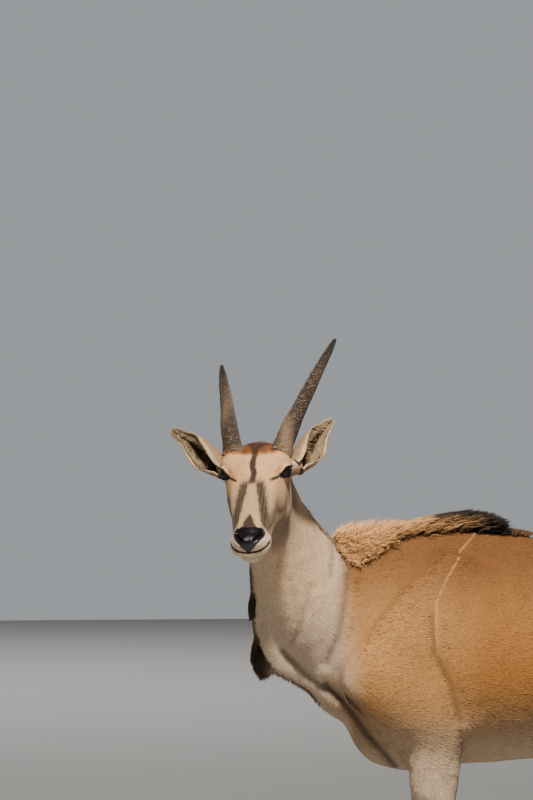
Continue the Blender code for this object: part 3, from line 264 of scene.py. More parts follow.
def limb(line, side, tall, wide, blend, under=None, samples=18, carve=False):
    """An oval section swept along a curved line.

    The section's height lies along tangent x side: tall is its half height on
    that side and under on the other; wide is its half width along side. A place
    is measured in the section of the nearest step of the line.
    """
    line = np.asarray(line, float)
    side = np.broadcast_to(np.asarray(side, float), (len(line), 3))
    under = tall if under is None else under
    rows = smooth_rows(np.column_stack((line, side, tall, under, wide)), samples)
    path, lateral = rows[:, :3], unit(rows[:, 3:6])
    sizes = np.maximum(rows[:, 6:9], 0.001)
    reach = sizes.max() * 1.02

    def distance(points):
        best = np.full(len(points), 1e9)
        chosen = np.zeros(len(points))
        for i in range(samples - 1):
            step = path[i + 1] - path[i]
            t = np.clip((points - path[i]) @ step / (step @ step), 0, 1)
            away = ((points - path[i] - t[:, None] * step) ** 2).sum(axis=1)
            closer = away < best
            best[closer] = away[closer]
            chosen[closer] = i + t[closer]
        i = np.minimum(chosen.astype(int), samples - 2)
        t = (chosen - i)[:, None]
        across = unit(lateral[i] * (1 - t) + lateral[i + 1] * t)
        size = sizes[i] * (1 - t) + sizes[i + 1] * t
        tangent = unit(path[i + 1] - path[i])
        height = unit(np.cross(tangent, across))
        offset = points - path[i] * (1 - t) - path[i + 1] * t
        h = (offset * height).sum(axis=1)
        tall_here = np.where(h > 0, size[:, 0], size[:, 1])
        radii = np.column_stack((tall_here, size[:, 2], np.minimum(tall_here, size[:, 2])))
        local = np.column_stack((h, (offset * across).sum(axis=1), (offset * tangent).sum(axis=1)))
        return oval_distance(local, radii)

    return path.min(axis=0) - reach, path.max(axis=0) + reach, blend, distance, carve


def blended(forms, points):
    """The soft minimum of all forms at each place; carving forms take away instead."""
    value = np.full(len(points), 0.5)
    for low, high, blend, distance, carve in forms:
        near = np.all((points > low - blend) & (points < high + blend), axis=1)
        if not near.any():
            continue
        old, new = value[near], distance(points[near])
        if carve:
            old = -old
        mix = np.clip(blend - np.abs(old - new), 0, None) ** 2 / (4 * blend)
        joined = np.minimum(old, new) - mix
        value[near] = -joined if carve else joined
    return value


print("form makers ready")

# %% [markdown]
# ## Trunk, neck and dewlap
# An eland is deep in the chest, high at the withers and has a thin fold of skin, the dewlap,
# from the throat to the brisket. Barrel, neck and dewlap are swept ovals; shoulders, hips and
# rump are rounded forms laid over them.

# %% Forms of the trunk and neck
# Columns: x, height of the widest line, reach up, reach down, half width.
TRUNK = np.array([
    (-0.150, 1.020, 0.160, 0.140, 0.095),
    (-0.070, 1.020, 0.220, 0.235, 0.165),
    (0.050, 1.020, 0.270, 0.265, 0.215),
    (0.200, 1.020, 0.285, 0.258, 0.248),
    (0.400, 1.025, 0.285, 0.252, 0.280),
    (0.600, 1.030, 0.278, 0.255, 0.292),
    (0.780, 1.045, 0.270, 0.247, 0.282),
    (0.930, 1.070, 0.255, 0.225, 0.262),
    (1.080, 1.090, 0.240, 0.185, 0.235),
    (1.210, 1.090, 0.190, 0.135, 0.170),
    (1.290, 1.080, 0.110, 0.080, 0.090),
])
NECK_LINE = np.array([
    (0.060, 0.000, 1.110),
    (-0.090, -0.005, 1.125),
    (-0.195, -0.025, 1.170),
    (-0.282, -0.060, 1.262),
    (-0.342, -0.110, 1.365),
    (-0.388, -0.160, 1.462),
    (-0.410, -0.196, 1.522),
])
NECK_TURN = np.radians([0, 3, 10, 22, 38, 58, 70])
NECK_TALL = [0.215, 0.190, 0.155, 0.126, 0.106, 0.094, 0.078]
NECK_WIDE = [0.150, 0.125, 0.106, 0.091, 0.082, 0.078, 0.072]
NECK_SIDE = np.column_stack((np.sin(NECK_TURN), -np.cos(NECK_TURN), 0 * NECK_TURN))
DEWLAP_LINE = np.array([
    (-0.392, -0.115, 1.290),
    (-0.386, -0.082, 1.215),
    (-0.362, -0.046, 1.120),
    (-0.330, -0.026, 1.052),
    (-0.265, -0.010, 1.010),
    (-0.190, -0.002, 0.962),
    (-0.125, 0.000, 0.900),
])
DEWLAP_DEEP = [0.012, 0.024, 0.038, 0.044, 0.040, 0.032, 0.030]
DEWLAP_THICK = [0.014, 0.016, 0.018, 0.020, 0.024, 0.036, 0.060]
TAIL_LINE = np.array([
    (1.295, 0.0, 1.205),
    (1.352, 0.0, 1.185),
    (1.408, 0.0, 1.110),
    (1.428, 0.0, 0.980),
    (1.424, 0.0, 0.840),
    (1.420, 0.0, 0.720),
])
TAIL_RADIUS = [0.038, 0.028, 0.021, 0.016, 0.013, 0.011]


def trunk_forms():
    """Barrel, withers, shoulders, brisket, hips, rump and udder."""
    x, middle, up, down, wide = TRUNK.T
    line = np.column_stack((x, 0 * x, middle))
    forms = [limb(line, (0, 1, 0), up, wide, 0.05, under=down, samples=30)]
    forms.append(limb([(-0.13, 0, 1.245), (0.0, 0, 1.285), (0.13, 0, 1.300), (0.30, 0, 1.270),
                       (0.46, 0, 1.235)], (0, 1, 0), [0.055, 0.070, 0.074, 0.080, 0.080],
                      [0.045, 0.050, 0.052, 0.065, 0.075], 0.10))
    forms.append(limb([(0.55, 0, 1.225), (0.80, 0, 1.235), (1.02, 0, 1.250), (1.18, 0, 1.215)],
                      (0, 1, 0), [0.075, 0.080, 0.085, 0.070], [0.10, 0.13, 0.15, 0.10], 0.08))
    forms.append(ellipsoid((-0.060, 0, 0.945), (0.085, 0.095, 0.150), 0.05))
    forms.append(ellipsoid((0.025, 0, 0.840), (0.130, 0.095, 0.086), 0.05))
    for sign in SIDES.values():
        forms.append(limb([(0.130, sign * 0.105, 1.260), (0.020, sign * 0.165, 1.120),
                           (-0.105, sign * 0.170, 0.985)],
                          (0, sign, 0), [0.070, 0.105, 0.085], [0.035, 0.050, 0.062], 0.05))
        forms.append(limb([(-0.110, sign * 0.165, 0.990), (-0.020, sign * 0.172, 0.925),
                           (0.090, sign * 0.160, 0.865)],
                          (0, sign, 0), [0.085, 0.090, 0.070], [0.066, 0.062, 0.052], 0.05))
        forms.append(ellipsoid((0.97, sign * 0.165, 1.235), (0.080, 0.055, 0.055), 0.07))
        forms.append(ellipsoid((1.255, sign * 0.105, 1.100), (0.105, 0.085, 0.130), 0.06))
    forms.append(ellipsoid((0.99, 0, 0.875), (0.095, 0.075, 0.062), 0.04))
    return forms


def neck_forms():
    """The muscles of the neck and the thin fold of the dewlap below it."""
    forms = [limb(NECK_LINE, NECK_SIDE, NECK_TALL, NECK_WIDE, 0.05, samples=24)]
    fold_side = np.tile((0.0, -1.0, 0.0), (len(DEWLAP_LINE), 1))
    fold_side[:3] = NECK_SIDE[[4, 3, 2]]
    forms.append(limb(DEWLAP_LINE, fold_side, DEWLAP_DEEP, DEWLAP_THICK, 0.030, samples=20))
    return forms


print("trunk and neck forms:", len(trunk_forms()) + len(neck_forms()))

# %% [markdown]
# ## Legs
# The animal stands square with one foreleg and one hind leg a little ahead. Each leg is a
# swept oval that follows the bones: heavy above, flat and thin at the cannon, round at the
# fetlock, with two digits and two dewclaws at the foot.

# %% Forms of the legs and feet
FORE_X = {"left": 0.052, "right": 0.122}
HIND_X = {"left": 1.215, "right": 1.125}
FORE_Y = 0.132
HIND_Y = 0.128
KNEE_Z = 0.440
HOCK_Z = 0.530
FETLOCK_Z = 0.160
HOOF_LENGTH = 0.108
HOOF_WIDTH = 0.043
HOOF_CLEFT = 0.005
CORONET_FRONT = 0.066
CORONET_SLOPE = 0.30
HIND_FOOT_BACK = 0.006             # how far a hind foot stands behind its leg's own x
FEET = ((FORE_X, 0.0, FORE_Y), (HIND_X, HIND_FOOT_BACK, HIND_Y))


def foot_forms(x, y):
    """Fetlock joint, two digits down to the hooves, and the two dewclaws behind."""
    forms = [ellipsoid((x, y, FETLOCK_Z), (0.035, 0.035, 0.038), 0.02)]
    for sign in (-1, 1):
        forms.append(limb([(x - 0.004, y + sign * 0.014, FETLOCK_Z - 0.010),
                           (x - 0.018, y + sign * 0.020, 0.105),
                           (x - 0.026, y + sign * 0.0232, 0.050)],
                          (0, -1, 0), [0.026, 0.028, 0.034], [0.017, 0.018, 0.0185], 0.012,
                          under=[0.026, 0.030, 0.036]))
        forms.append(ellipsoid((x + 0.034, y + sign * 0.017, FETLOCK_Z - 0.032),
                               (0.012, 0.010, 0.016), 0.008))
    return forms


def foreleg_forms(name):
    """Forearm, knee, cannon and foot of one front leg."""
    sign, x = SIDES[name], FORE_X[name]
    y = sign * FORE_Y
    top = sign * (FORE_Y + 0.018)
    line = [(0.045 + (x - 0.052) * 0.5, top, 0.890), (x + 0.006, top, 0.790),
            (x + 0.004, y + sign * 0.008, 0.680), (x, y, 0.560), (x - 0.004, y, KNEE_Z + 0.02),
            (x, y, KNEE_Z - 0.05), (x + 0.002, y, 0.280), (x, y, FETLOCK_Z + 0.01)]
    front = [0.085, 0.074, 0.058, 0.044, 0.042, 0.032, 0.025, 0.029]
    back = [0.080, 0.070, 0.058, 0.044, 0.040, 0.031, 0.027, 0.033]
    wide = [0.058, 0.052, 0.046, 0.038, 0.038, 0.031, 0.025, 0.032]
    return [limb(line, (0, -1, 0), front, wide, 0.03, under=back)] + foot_forms(x, y)


def hindleg_forms(name):
    """Thigh, shank, hamstring, cannon and foot of one hind leg."""
    sign, x = SIDES[name], HIND_X[name]
    y = sign * HIND_Y
    lean = x - 1.17
    thigh = limb([(1.16 + lean * 0.2, sign * 0.140, 1.120), (1.10 + lean * 0.3, sign * 0.165, 0.985),
                  (1.06 + lean * 0.5, sign * 0.165, 0.870)],
                 (0, -1, 0), [0.150, 0.165, 0.120], [0.100, 0.085, 0.062], 0.05,
                 under=[0.180, 0.170, 0.120])
    shank = limb([(1.045 + lean * 0.5, sign * 0.160, 0.850), (1.115 + lean * 0.7, sign * 0.150, 0.735),
                  (1.180 + lean * 0.9, sign * 0.138, 0.630), (1.212 + lean, y, HOCK_Z)],
                 (0, -1, 0), [0.105, 0.072, 0.042, 0.038], [0.060, 0.050, 0.036, 0.034], 0.04,
                 under=[0.110, 0.075, 0.044, 0.040])
    cord = limb([(1.200 + lean * 0.7, sign * 0.140, 0.770), (1.226 + lean * 0.9, y, 0.655),
                 (1.246 + lean, y, 0.565)],
                (0, -1, 0), [0.034, 0.020, 0.020], [0.028, 0.018, 0.020], 0.05)
    cannon = limb([(1.216 + lean, y, 0.545), (x + 0.030, y, 0.440), (x + 0.018, y, 0.300),
                   (x + HIND_FOOT_BACK, y, FETLOCK_Z + 0.01)],
                  (0, -1, 0), [0.038, 0.031, 0.026, 0.030], [0.036, 0.029, 0.025, 0.032], 0.03,
                  under=[0.044, 0.034, 0.030, 0.034])
    return [thigh, shank, cord, cannon] + foot_forms(x + HIND_FOOT_BACK, y)


print("leg forms:", 2 * (len(foreleg_forms("left")) + len(hindleg_forms("left"))))

# %% [markdown]
# ## The head
# The skull is long and wedge-shaped, wide over the eye sockets, with a rounded muzzle. The
# broad forms below give it. Lids, nostrils and the line of the mouth come later, pressed into
# the finished skin, because they need a much finer mesh than the body does.

# %% Forms of the head
HORN_ROOT = (-0.045, 0.058, 0.012)
HORN_AIM = {"left": (-0.971, 0.218, -0.096), "right": (-0.980, 0.167, -0.105)}
EAR_ROOT = (-0.060, 0.092, -0.044)
EAR_AIM = {"left": (-0.863, 0.505, -0.010), "right": (-0.605, 0.787, 0.120)}
LID_THICK = 0.0030


def head_oval(place, radii, blend, carve=False):
    """A rounded form in the head's own directions."""
    return ellipsoid(on_head(place), radii, blend, HEAD_AXES, carve)


def head_bar(places, tall, wide, blend, carve=False, samples=12):
    """A swept form in the head's own directions."""
    return limb(on_head(places), HEAD_AXES[1], tall, wide, blend, samples=samples, carve=carve)


def head_forms():
    """Skull, brow, nose, muzzle, lips, chin, jaw and the seats of horns and ears."""
    forms = [
        head_oval((-0.042, 0, -0.022), (0.056, 0.070, 0.046), 0.03),
        head_oval((-0.006, 0, 0.004), (0.062, 0.070, 0.034), 0.02),
        head_bar([(0.0, 0, -0.004), (0.090, 0, -0.008), (0.178, 0, -0.011), (0.240, 0, -0.014)],
                 [0.040, 0.036, 0.031, 0.026], [0.064, 0.059, 0.045, 0.037], 0.02),
        head_oval((0.236, 0, -0.022), (0.040, 0.042, 0.033), 0.02),
        head_oval((0.255, 0, -0.006), (0.021, 0.034, 0.021), 0.010),
        head_bar([(0.03, 0, -0.055), (0.110, 0, -0.046), (0.192, 0, -0.042)],
                 [0.055, 0.045, 0.034], [0.056, 0.054, 0.043], 0.03),
        head_oval((0.216, 0, -0.063), (0.047, 0.037, 0.023), 0.012),
        head_oval((-0.055, 0, -0.080), (0.070, 0.060, 0.066), 0.04),
    ]
    for name, sign in HEAD_SIDES.items():
        root = np.array(mirrored(HORN_ROOT, sign))
        aim = np.array(mirrored(HORN_AIM[name], sign))
        forms += [
            head_oval((-0.008, sign * 0.059, -0.002), (0.037, 0.032, 0.031), 0.014),
            head_oval((0.050, sign * 0.092, 0.018), (0.026, 0.020, 0.020), 0.012, carve=True),
            head_oval(mirrored(EYE_PLACE, sign), (EYE_RADIUS + LID_THICK,) * 3, 0.006),
            head_oval((-0.020, sign * 0.055, 0.004), (0.038, 0.032, 0.027), 0.016),
            head_oval((0.226, sign * 0.027, -0.034), (0.042, 0.025, 0.021), 0.010),
            head_oval((0.024, sign * 0.048, -0.038), (0.066, 0.022, 0.032), 0.02),
            head_oval((0.006, sign * 0.048, -0.082), (0.080, 0.028, 0.062), 0.03),
            head_bar([(0.197, sign * 0.020, -0.068), (0.095, sign * 0.036, -0.082),
                      (0.005, sign * 0.050, -0.118)],
                     [0.015, 0.022, 0.032], [0.012, 0.015, 0.022], 0.025),
            head_bar([(-0.020, sign * 0.052, 0.004), root - 0.012 * aim, root],
                     [0.024, 0.022, 0.018], [0.024, 0.024, 0.022], 0.012),
            head_oval(np.array(mirrored(EAR_ROOT, sign)) + (0.0, -0.012 * sign, 0.0),
                      (0.026, 0.030, 0.026), 0.016),
        ]
    return forms


def eye_frame(sign):
    """Centre of an eye, and the directions along its slit, over it and out of it."""
    look = head_turned(mirrored(EYE_LOOK, sign))
    slit = head_turned((0.80, -0.57 * sign, 0.12))
    slit = unit(slit - look * (slit @ look))
    return on_head(mirrored(EYE_PLACE, sign)), slit, np.cross(slit, look) * sign, look


def body_forms():
    """Every broad form of flesh, in the order in which they blend."""
    forms = trunk_forms() + neck_forms() + head_forms()
    for name in SIDES:
        forms += foreleg_forms(name) + hindleg_forms(name)
    forms.append(limb(TAIL_LINE, (0, 1, 0), TAIL_RADIUS, TAIL_RADIUS, 0.02, samples=24))
    return forms


BODY = body_forms()
print("forms of the body:", len(BODY))

# %% [markdown]
# ## From the blend to a mesh
# The skin is the place where the blend is zero. Surface nets finds it: the space is cut into
# cells, each cell that the surface crosses gets one vertex at the mean of its edge crossings,
# and every crossed edge gets one quad. The cells are small round the head and larger over the
# trunk, so the mesh is fine where the eye looks first and stays within its triangle limit.

# %% Cells that are small round the head
def stretched_axis(low, high, fine_low, fine_high, fine, coarse):
    """Places along an axis: step fine in the middle range, growing to coarse outside it."""
    def outwards(start, end):
        places, step = [], fine
        while abs(start - end) > 1e-9 and (end - start) * (1 if end > start else -1) > 0:
            step = min(step * 1.18, coarse)
            start += step if end > start else -step
            places.append(start)
            if (start >= end) if end >= fine_high else (start <= end):
                break
        return places
    middle = np.arange(fine_low, fine_high, fine)
    below = outwards(fine_low, low)[::-1]
    above = outwards(middle[-1], high)
    return np.concatenate((below, middle, above))


HEAD_CELL = 0.0046
BODY_CELL = 0.0135
GRID = (stretched_axis(-0.64, 1.46, -0.60, -0.30, HEAD_CELL, BODY_CELL),
        stretched_axis(-0.58, 0.34, -0.56, -0.16, HEAD_CELL, BODY_CELL),
        stretched_axis(-0.02, 1.70, 1.27, 1.66, HEAD_CELL, BODY_CELL))
print("grid cells:", [len(axis) for axis in GRID])


# %% Values of the blend near the surface only
COAT_DEPTH = 0.0022                # how far the skin lies inside the coat on the body
FACE_DEPTH = 0.0008                # and on the head, where the coat is shortest


def coat_depth(points):
    """Depth of the short coat: thin on the head and lower legs, fuller on the body."""
    away = np.linalg.norm(points - on_head((0.05, 0, -0.03)), axis=1)
    head = np.clip((0.26 - away) / 0.10, 0, 1)
    leg = np.clip((0.55 - points[:, 2]) / 0.25, 0, 1)
    return COAT_DEPTH + (FACE_DEPTH - COAT_DEPTH) * np.maximum(head, 0.7 * leg)


def coronet_height(x, place):
    """Height of the slanting line where skin meets hoof."""
    return CORONET_FRONT - CORONET_SLOPE * (place - (x - 0.070))


def skin_distance(points, forms):
    """The blend, moved in by the coat's depth and closed off inside the hooves."""
    value = blended(forms, points) + coat_depth(points)
    for xs, offset, half in FEET:
        for name, sign in SIDES.items():
            x = xs[name] + offset
            foot = (points[:, 2] < 0.12) & (np.abs(points[:, 0] - x) < 0.12)
            foot &= np.abs(points[:, 1] - sign * half) < 0.10
            below = coronet_height(x, points[foot, 0]) - 0.006 - points[foot, 2]
            value[foot] = np.maximum(value[foot], below)
    return value


def field_near_surface(grid, forms):
    """Distances on the grid: exact close to the surface, and only their sign elsewhere.

    A regular coarse grid is measured first. Fine places are measured only in the
    coarse cells that the surface may cross, which is where it lies within a margin.
    """
    coarse, margin = 0.016, 0.026
    low = np.array([axis[0] for axis in grid])
    counts = [int((axis[-1] - axis[0]) / coarse) + 2 for axis in grid]
    places = np.stack(np.meshgrid(*[lo + coarse * np.arange(n) for lo, n in zip(low, counts)],
                                  indexing="ij"), axis=-1).reshape(-1, 3)
    rough = skin_distance(places, forms).reshape(counts)
    near = np.abs(rough) < margin
    cells = near.copy()
    for axis in range(3):
        cells |= np.roll(near, 1, axis=axis) | np.roll(near, -1, axis=axis)
    index = [np.clip(np.rint((axis - lo) / coarse).astype(int), 0, n - 1)
             for axis, lo, n in zip(grid, low, counts)]
    field = np.where(rough < 0, -0.5, 0.5)[np.ix_(*index)]
    wanted = np.argwhere(cells[np.ix_(*index)])
    spots = np.column_stack([grid[n][wanted[:, n]] for n in range(3)])
    field[tuple(wanted.T)] = skin_distance(spots, forms)
    return field


clock = time.time()
field = field_near_surface(GRID, BODY)
print("field measured in", round(time.time() - clock, 1), "s")


# %% Surface nets
def surface_nets(grid, field):
    """One vertex in each crossed cell and one quad round each crossed edge."""
    inside = field < 0
    size = [n - 1 for n in field.shape]
    corners = [(i, j, k) for i in (0, 1) for j in (0, 1) for k in (0, 1)]
    count = np.zeros(size, np.int8)
    for corner in corners:
        count += inside[tuple(slice(s, s + n) for s, n in zip(corner, size))]
    cells = np.argwhere((count > 0) & (count < 8))
    number = np.full(size, -1, np.int32)
    number[tuple(cells.T)] = np.arange(len(cells))
    total, hits = np.zeros((len(cells), 3)), np.zeros(len(cells))
    for first in corners:
        for axis in range(3):
            if first[axis]:
                continue
            second = tuple(1 if n == axis else first[n] for n in range(3))
            a, b = field[tuple((cells + first).T)], field[tuple((cells + second).T)]
            cross = (a < 0) != (b < 0)
            place = cells + np.array(first, float)
            place[:, axis] += np.where(cross, a / np.where(cross, a - b, 1), 0)
            total += place * cross[:, None]
            hits += cross
    spot = total / hits[:, None]
    points = np.column_stack([np.interp(spot[:, n], np.arange(len(grid[n])), grid[n])
                              for n in range(3)])
    quads = []
    for axis in range(3):
        u, v = (axis + 1) % 3, (axis + 2) % 3
        low, high = [slice(None)] * 3, [slice(None)] * 3
        low[axis], high[axis] = slice(0, -1), slice(1, None)
        start, end = inside[tuple(low)], inside[tuple(high)]
        edges = np.argwhere(start != end)
        keep = (edges[:, u] > 0) & (edges[:, v] > 0)
        edges = edges[keep & (edges[:, u] < size[u]) & (edges[:, v] < size[v])]
        ring = []
        for du, dv in ((1, 1), (0, 1), (0, 0), (1, 0)):
            cell = edges.copy()
            cell[:, u] -= du
            cell[:, v] -= dv
            ring.append(number[tuple(cell.T)])
        ring = np.column_stack(ring)
        flip = end[tuple(edges.T)]
        ring[flip] = ring[flip][:, ::-1]
        quads.append(ring)
    return points, np.vstack(quads)


skin_points, skin_quads = surface_nets(GRID, field)
del field
print("skin before detail:", len(skin_points), "places,", len(skin_quads), "quads")


# %% Finer quads at the eyes, muzzle, brow, folds and stripe
def in_mesh(points, faces):
    """A mesh data block from arrays; faces is one array, or a list of them."""
    mesh = bpy.data.meshes.new("shape")
    faces = [faces] if isinstance(faces, np.ndarray) else faces
    sizes = np.concatenate([np.full(len(f), f.shape[1]) for f in faces])
    mesh.vertices.add(len(points))
    mesh.vertices.foreach_set("co", np.asarray(points, np.float32).ravel())
    mesh.loops.add(int(sizes.sum()))
    mesh.loops.foreach_set("vertex_index", np.concatenate([f.ravel() for f in faces]).astype(np.int32))
    mesh.polygons.add(len(sizes))
    mesh.polygons.foreach_set("loop_start", np.concatenate(([0], np.cumsum(sizes)[:-1])).astype(np.int32))
    mesh.update(calc_edges=True)
    return mesh


def in_head(points):
    """Places in the head's own frame: forward, left, up."""
    return (points - HEAD_POINT) @ HEAD_AXES.T


def distance_to_route(points, route):
    """Shortest distance from each place to a route of straight steps."""
    best = np.full(len(points), 1e9)
    for a, b in zip(np.asarray(route[:-1], float), np.asarray(route[1:], float)):
        t = np.clip((points - a) @ (b - a) / ((b - a) @ (b - a)), 0, 1)[:, None]
        best = np.minimum(best, np.linalg.norm(points - a - t * (b - a), axis=1))
    return best


# Routes pressed into the face, in the head's frame: forward, to the side, up.
MOUTH = ((0.2754, 0.0, -0.0187), (0.2735, 0.0138, -0.0192), (0.2654, 0.0296, -0.0214),
         (0.2459, 0.0442, -0.0224), (0.2223, 0.0494, -0.0282), (0.2002, 0.0483, -0.0350),
         (0.1780, 0.0470, -0.0406))
PHILTRUM = ((0.2754, 0.0, -0.0080), (0.2753, 0.0, -0.0130), (0.2752, 0.0, -0.0185))
NOSTRIL = ((0.2258, 0.0322, 0.0044), (0.2375, 0.0293, 0.0066), (0.2500, 0.0236, 0.0100),
           (0.2620, 0.0158, 0.0103))
TEAR_LINE = ((0.0285, 0.0655, 0.0035), (0.0400, 0.0570, 0.0110), (0.0490, 0.0500, 0.0155),
             (0.0575, 0.0430, 0.0190))


# Each fold: its route as (x, z) on the flank, its depth and its half width, in metres. The skin is pressed
# in along each fold, and its line is also painted darker as shade.
FOLDS = (
    (((-0.190, 1.335), (-0.198, 1.300), (-0.205, 1.255)), 0.0050, 0.010),
    (((-0.158, 1.255), (-0.168, 1.208), (-0.186, 1.104), (-0.212, 1.030)), 0.0060, 0.012),
    (((-0.210, 0.975), (-0.160, 0.925), (-0.100, 0.840), (-0.020, 0.755)), 0.0100, 0.015),
    (((-0.318, 1.060), (-0.240, 0.985), (-0.178, 0.938)), 0.0065, 0.012),
    (((0.112, 0.860), (0.128, 0.800), (0.138, 0.720)), 0.0060, 0.010),
    (((0.036, 1.150), (0.046, 1.052), (0.086, 0.974), (0.112, 0.885)), 0.0055, 0.014),
    (((-0.262, 1.230), (-0.285, 1.130), (-0.300, 1.080)), 0.0030, 0.012),
    (((0.860, 0.960), (0.900, 0.900), (0.915, 0.850)), 0.0060, 0.018),
)


def gentle_noise(points, scale, seed):
    """A smooth unevenness from -1 to 1: the mean of six sine waves in drawn directions."""
    draw = np.random.default_rng(seed)
    waves = unit(draw.normal(size=(6, 3))) * draw.uniform(0.7, 1.5, (6, 1)) / scale
    return np.sin(points @ waves.T * 2 * math.pi + draw.uniform(0, 6.3, 6)).mean(axis=1)


# Thin pale stripes of the flank: x at mid height, half width, strength, lean of the upper end.
STRIPES = ((0.052, 0.0030, 0.36, 1.0), (0.335, 0.0022, 0.14, 0.3), (0.475, 0.0024, 0.16, 0.3),
           (0.610, 0.0024, 0.15, 0.3), (0.745, 0.0022, 0.12, 0.3))
STRIPE_LOW = 0.93                  # height where the stripes begin
STRIPE_BEND = 1.182                # height where their upper parts begin to lean


def from_stripe(points, place, lean):
    """How far each place is behind a stripe, whose upper part leans back in a curve."""
    high = np.clip(points[:, 2] - STRIPE_BEND, 0, 1)
    bend = lean * (0.41 * high + 2.1 * high ** 2) - 0.04 * np.clip(STRIPE_BEND - points[:, 2], 0, 1)
    return points[:, 0] - place - bend - 0.003 * gentle_noise(points, 0.05, 31)


def wants_detail(points, level):
    """Which places are cut finer.

    Level 0 takes the eyes, muzzle, brow, folds and front stripe. Level 1 takes
    what lies close to the mouth, the nostrils, the eyes or that stripe.
    """
    head = in_head(points)
    head[:, 1] = np.abs(head[:, 1])
    eyes = np.linalg.norm(head - EYE_PLACE, axis=1)
    flank = (np.abs(points[:, 1]) > 0.03) & (points[:, 2] > 0.70)
    place, _, _, lean = STRIPES[0]
    lines = flank & (np.abs(from_stripe(points, place, lean)) < 0.012) & (points[:, 2] > STRIPE_LOW)
    if level == 0:
        for route, _, _ in FOLDS:
            lines |= flank & (distance_to_route(points[:, [0, 2]], route) < 0.016)
        brow = (np.linalg.norm(head - (0.05, 0, 0.01), axis=1) < 0.12) & (head[:, 1] < 0.035)
        return lines | brow | (eyes < 0.046) | ((head[:, 0] > 0.180) & (eyes < 0.40) & (head[:, 1] < 0.07))
    near = lines | (distance_to_route(head, MOUTH) < 0.006)
    near |= distance_to_route(head, NOSTRIL) < 0.010
    near |= distance_to_route(head, PHILTRUM) < 0.005
    return near | (eyes < 0.030)


def refine(mesh, level):
    """Cuts each wanted face in four."""
    cage = bmesh.new()
    cage.from_mesh(mesh)
    cage.faces.ensure_lookup_table()
    centres = np.array([f.calc_center_median() for f in cage.faces])
    chosen = np.nonzero(wants_detail(centres, level))[0]
    edges = list({edge for n in chosen for edge in cage.faces[n].edges})
    bmesh.ops.subdivide_edges(cage, edges=edges, cuts=1, use_grid_fill=True)
    cage.to_mesh(mesh)
    cage.free()
    return len(chosen)


skin_mesh = in_mesh(skin_points, skin_quads)
print("faces refined:", refine(skin_mesh, 0), "then", refine(skin_mesh, 1))


# %% Settle every vertex on the exact surface
def gather(mesh):
    """The mesh's vertex places as one array."""
    flat = np.empty(len(mesh.vertices) * 3, np.float32)
    mesh.vertices.foreach_get("co", flat)
    return flat.reshape(-1, 3).astype(float)


def gather_normals(mesh):
    """The mesh's vertex normals as one array."""
    flat = np.empty(len(mesh.vertices) * 3, np.float32)
    mesh.vertex_normals.foreach_get("vector", flat)
    return flat.reshape(-1, 3).astype(float)


def settle(points, forms, rounds=3, step=0.0006, most=0.004):
    """Moves places down the slope of the distance until it is zero (Newton's way)."""
    value = skin_distance(points, forms)
    slope = np.stack([skin_distance(points + step * axis, forms) - value for axis in np.eye(3)], axis=1)
    normal = unit(slope)
    steep = np.clip(np.linalg.norm(slope, axis=1) / step, 0.35, 1.5)
    for n in range(rounds):
        points = points - normal * np.clip(value / steep, -most, most)[:, None]
        if n < rounds - 1:
            value = skin_distance(points, forms)
    return points


clock = time.time()
skin_places = settle(gather(skin_mesh), BODY)
skin_mesh.vertices.foreach_set("co", (skin_places + SHIFT).astype(np.float32).ravel())
skin_mesh.update()
skin = bpy.data.objects.new("skin", skin_mesh)
bpy.context.scene.collection.objects.link(skin)
skin_mesh.shade_smooth()
print("settled in", round(time.time() - clock, 1), "s; faces", len(skin_mesh.polygons))

# %% [markdown]
# ## Folds, ribs and small unevenness
# Under a short coat the hide folds where the neck meets the shoulder, behind the elbow and
# along the dewlap, and ribs show faintly. A bump texture would vanish from the outline, so the
# skin's vertices are moved along their normals: down into each fold, and up a little beside it.

# %% Folds and relief
def ramp(value, start, end):
    """0 before start, 1 after end, and a smooth rise between them (start may be the larger)."""
    t = np.clip((value - start) / (end - start), 0, 1)
    return t * t * (3 - 2 * t)


RELIEF_SINK = 0.0006               # keeps the raised places inside the coat


def relief(points, normals):
    """How far each place moves along its normal."""
    flank = ramp(np.abs(normals[:, 1]), 0.15, 0.5)
    lift = np.zeros(len(points))
    for route, depth, half in FOLDS:
        away = distance_to_route(points[:, [0, 2]], route)
        lift += flank * depth * (0.45 * np.exp(-(away / (2.4 * half)) ** 2) - np.exp(-(away / half) ** 2))
    ribs = ramp(points[:, 0], 0.16, 0.30) * ramp(points[:, 0], 0.86, 0.70) * ramp(points[:, 2], 0.88, 0.98)
    ribs *= ramp(points[:, 2], 1.26, 1.16) * flank
    lift += ribs * 0.0009 * np.sin(2 * math.pi * (points[:, 0] + 0.30 * (points[:, 2] - 1.05)) / 0.058)
    away = np.linalg.norm(in_head(points) - HEAD_MIDDLE, axis=1)
    body = ramp(away, 0.16, 0.30)
    lift += body * (0.0016 * gentle_noise(points, 0.16, 3) + 0.0007 * gentle_noise(points, 0.045, 4))
    lift += (1 - body) * 0.0003 * gentle_noise(points, 0.016, 5)
    neck = ramp(points[:, 0], -0.14, -0.24) * body * ramp(points[:, 2], 1.0, 1.1)
    wave = points @ np.array((0.85, 0.35, 0.40))
    lift += neck * 0.0010 * np.sin(2 * math.pi * wave / 0.034 + 2 * gentle_noise(points, 0.2, 6))
    return lift - RELIEF_SINK


skin_normals = gather_normals(skin_mesh)
skin_places = skin_places + skin_normals * relief(skin_places, skin_normals)[:, None]
print("folds:", len(FOLDS), "on each side")

# %% [markdown]
# ## Lids, nostrils and mouth
# These need sharp edges, which a blend of rounded forms can't give. They are pressed into the
# finished skin instead: along a route the skin goes in and its edges stand up a little, and
# inside the almond of each eye it goes in behind the eyeball, so that the lids stay as an edge.

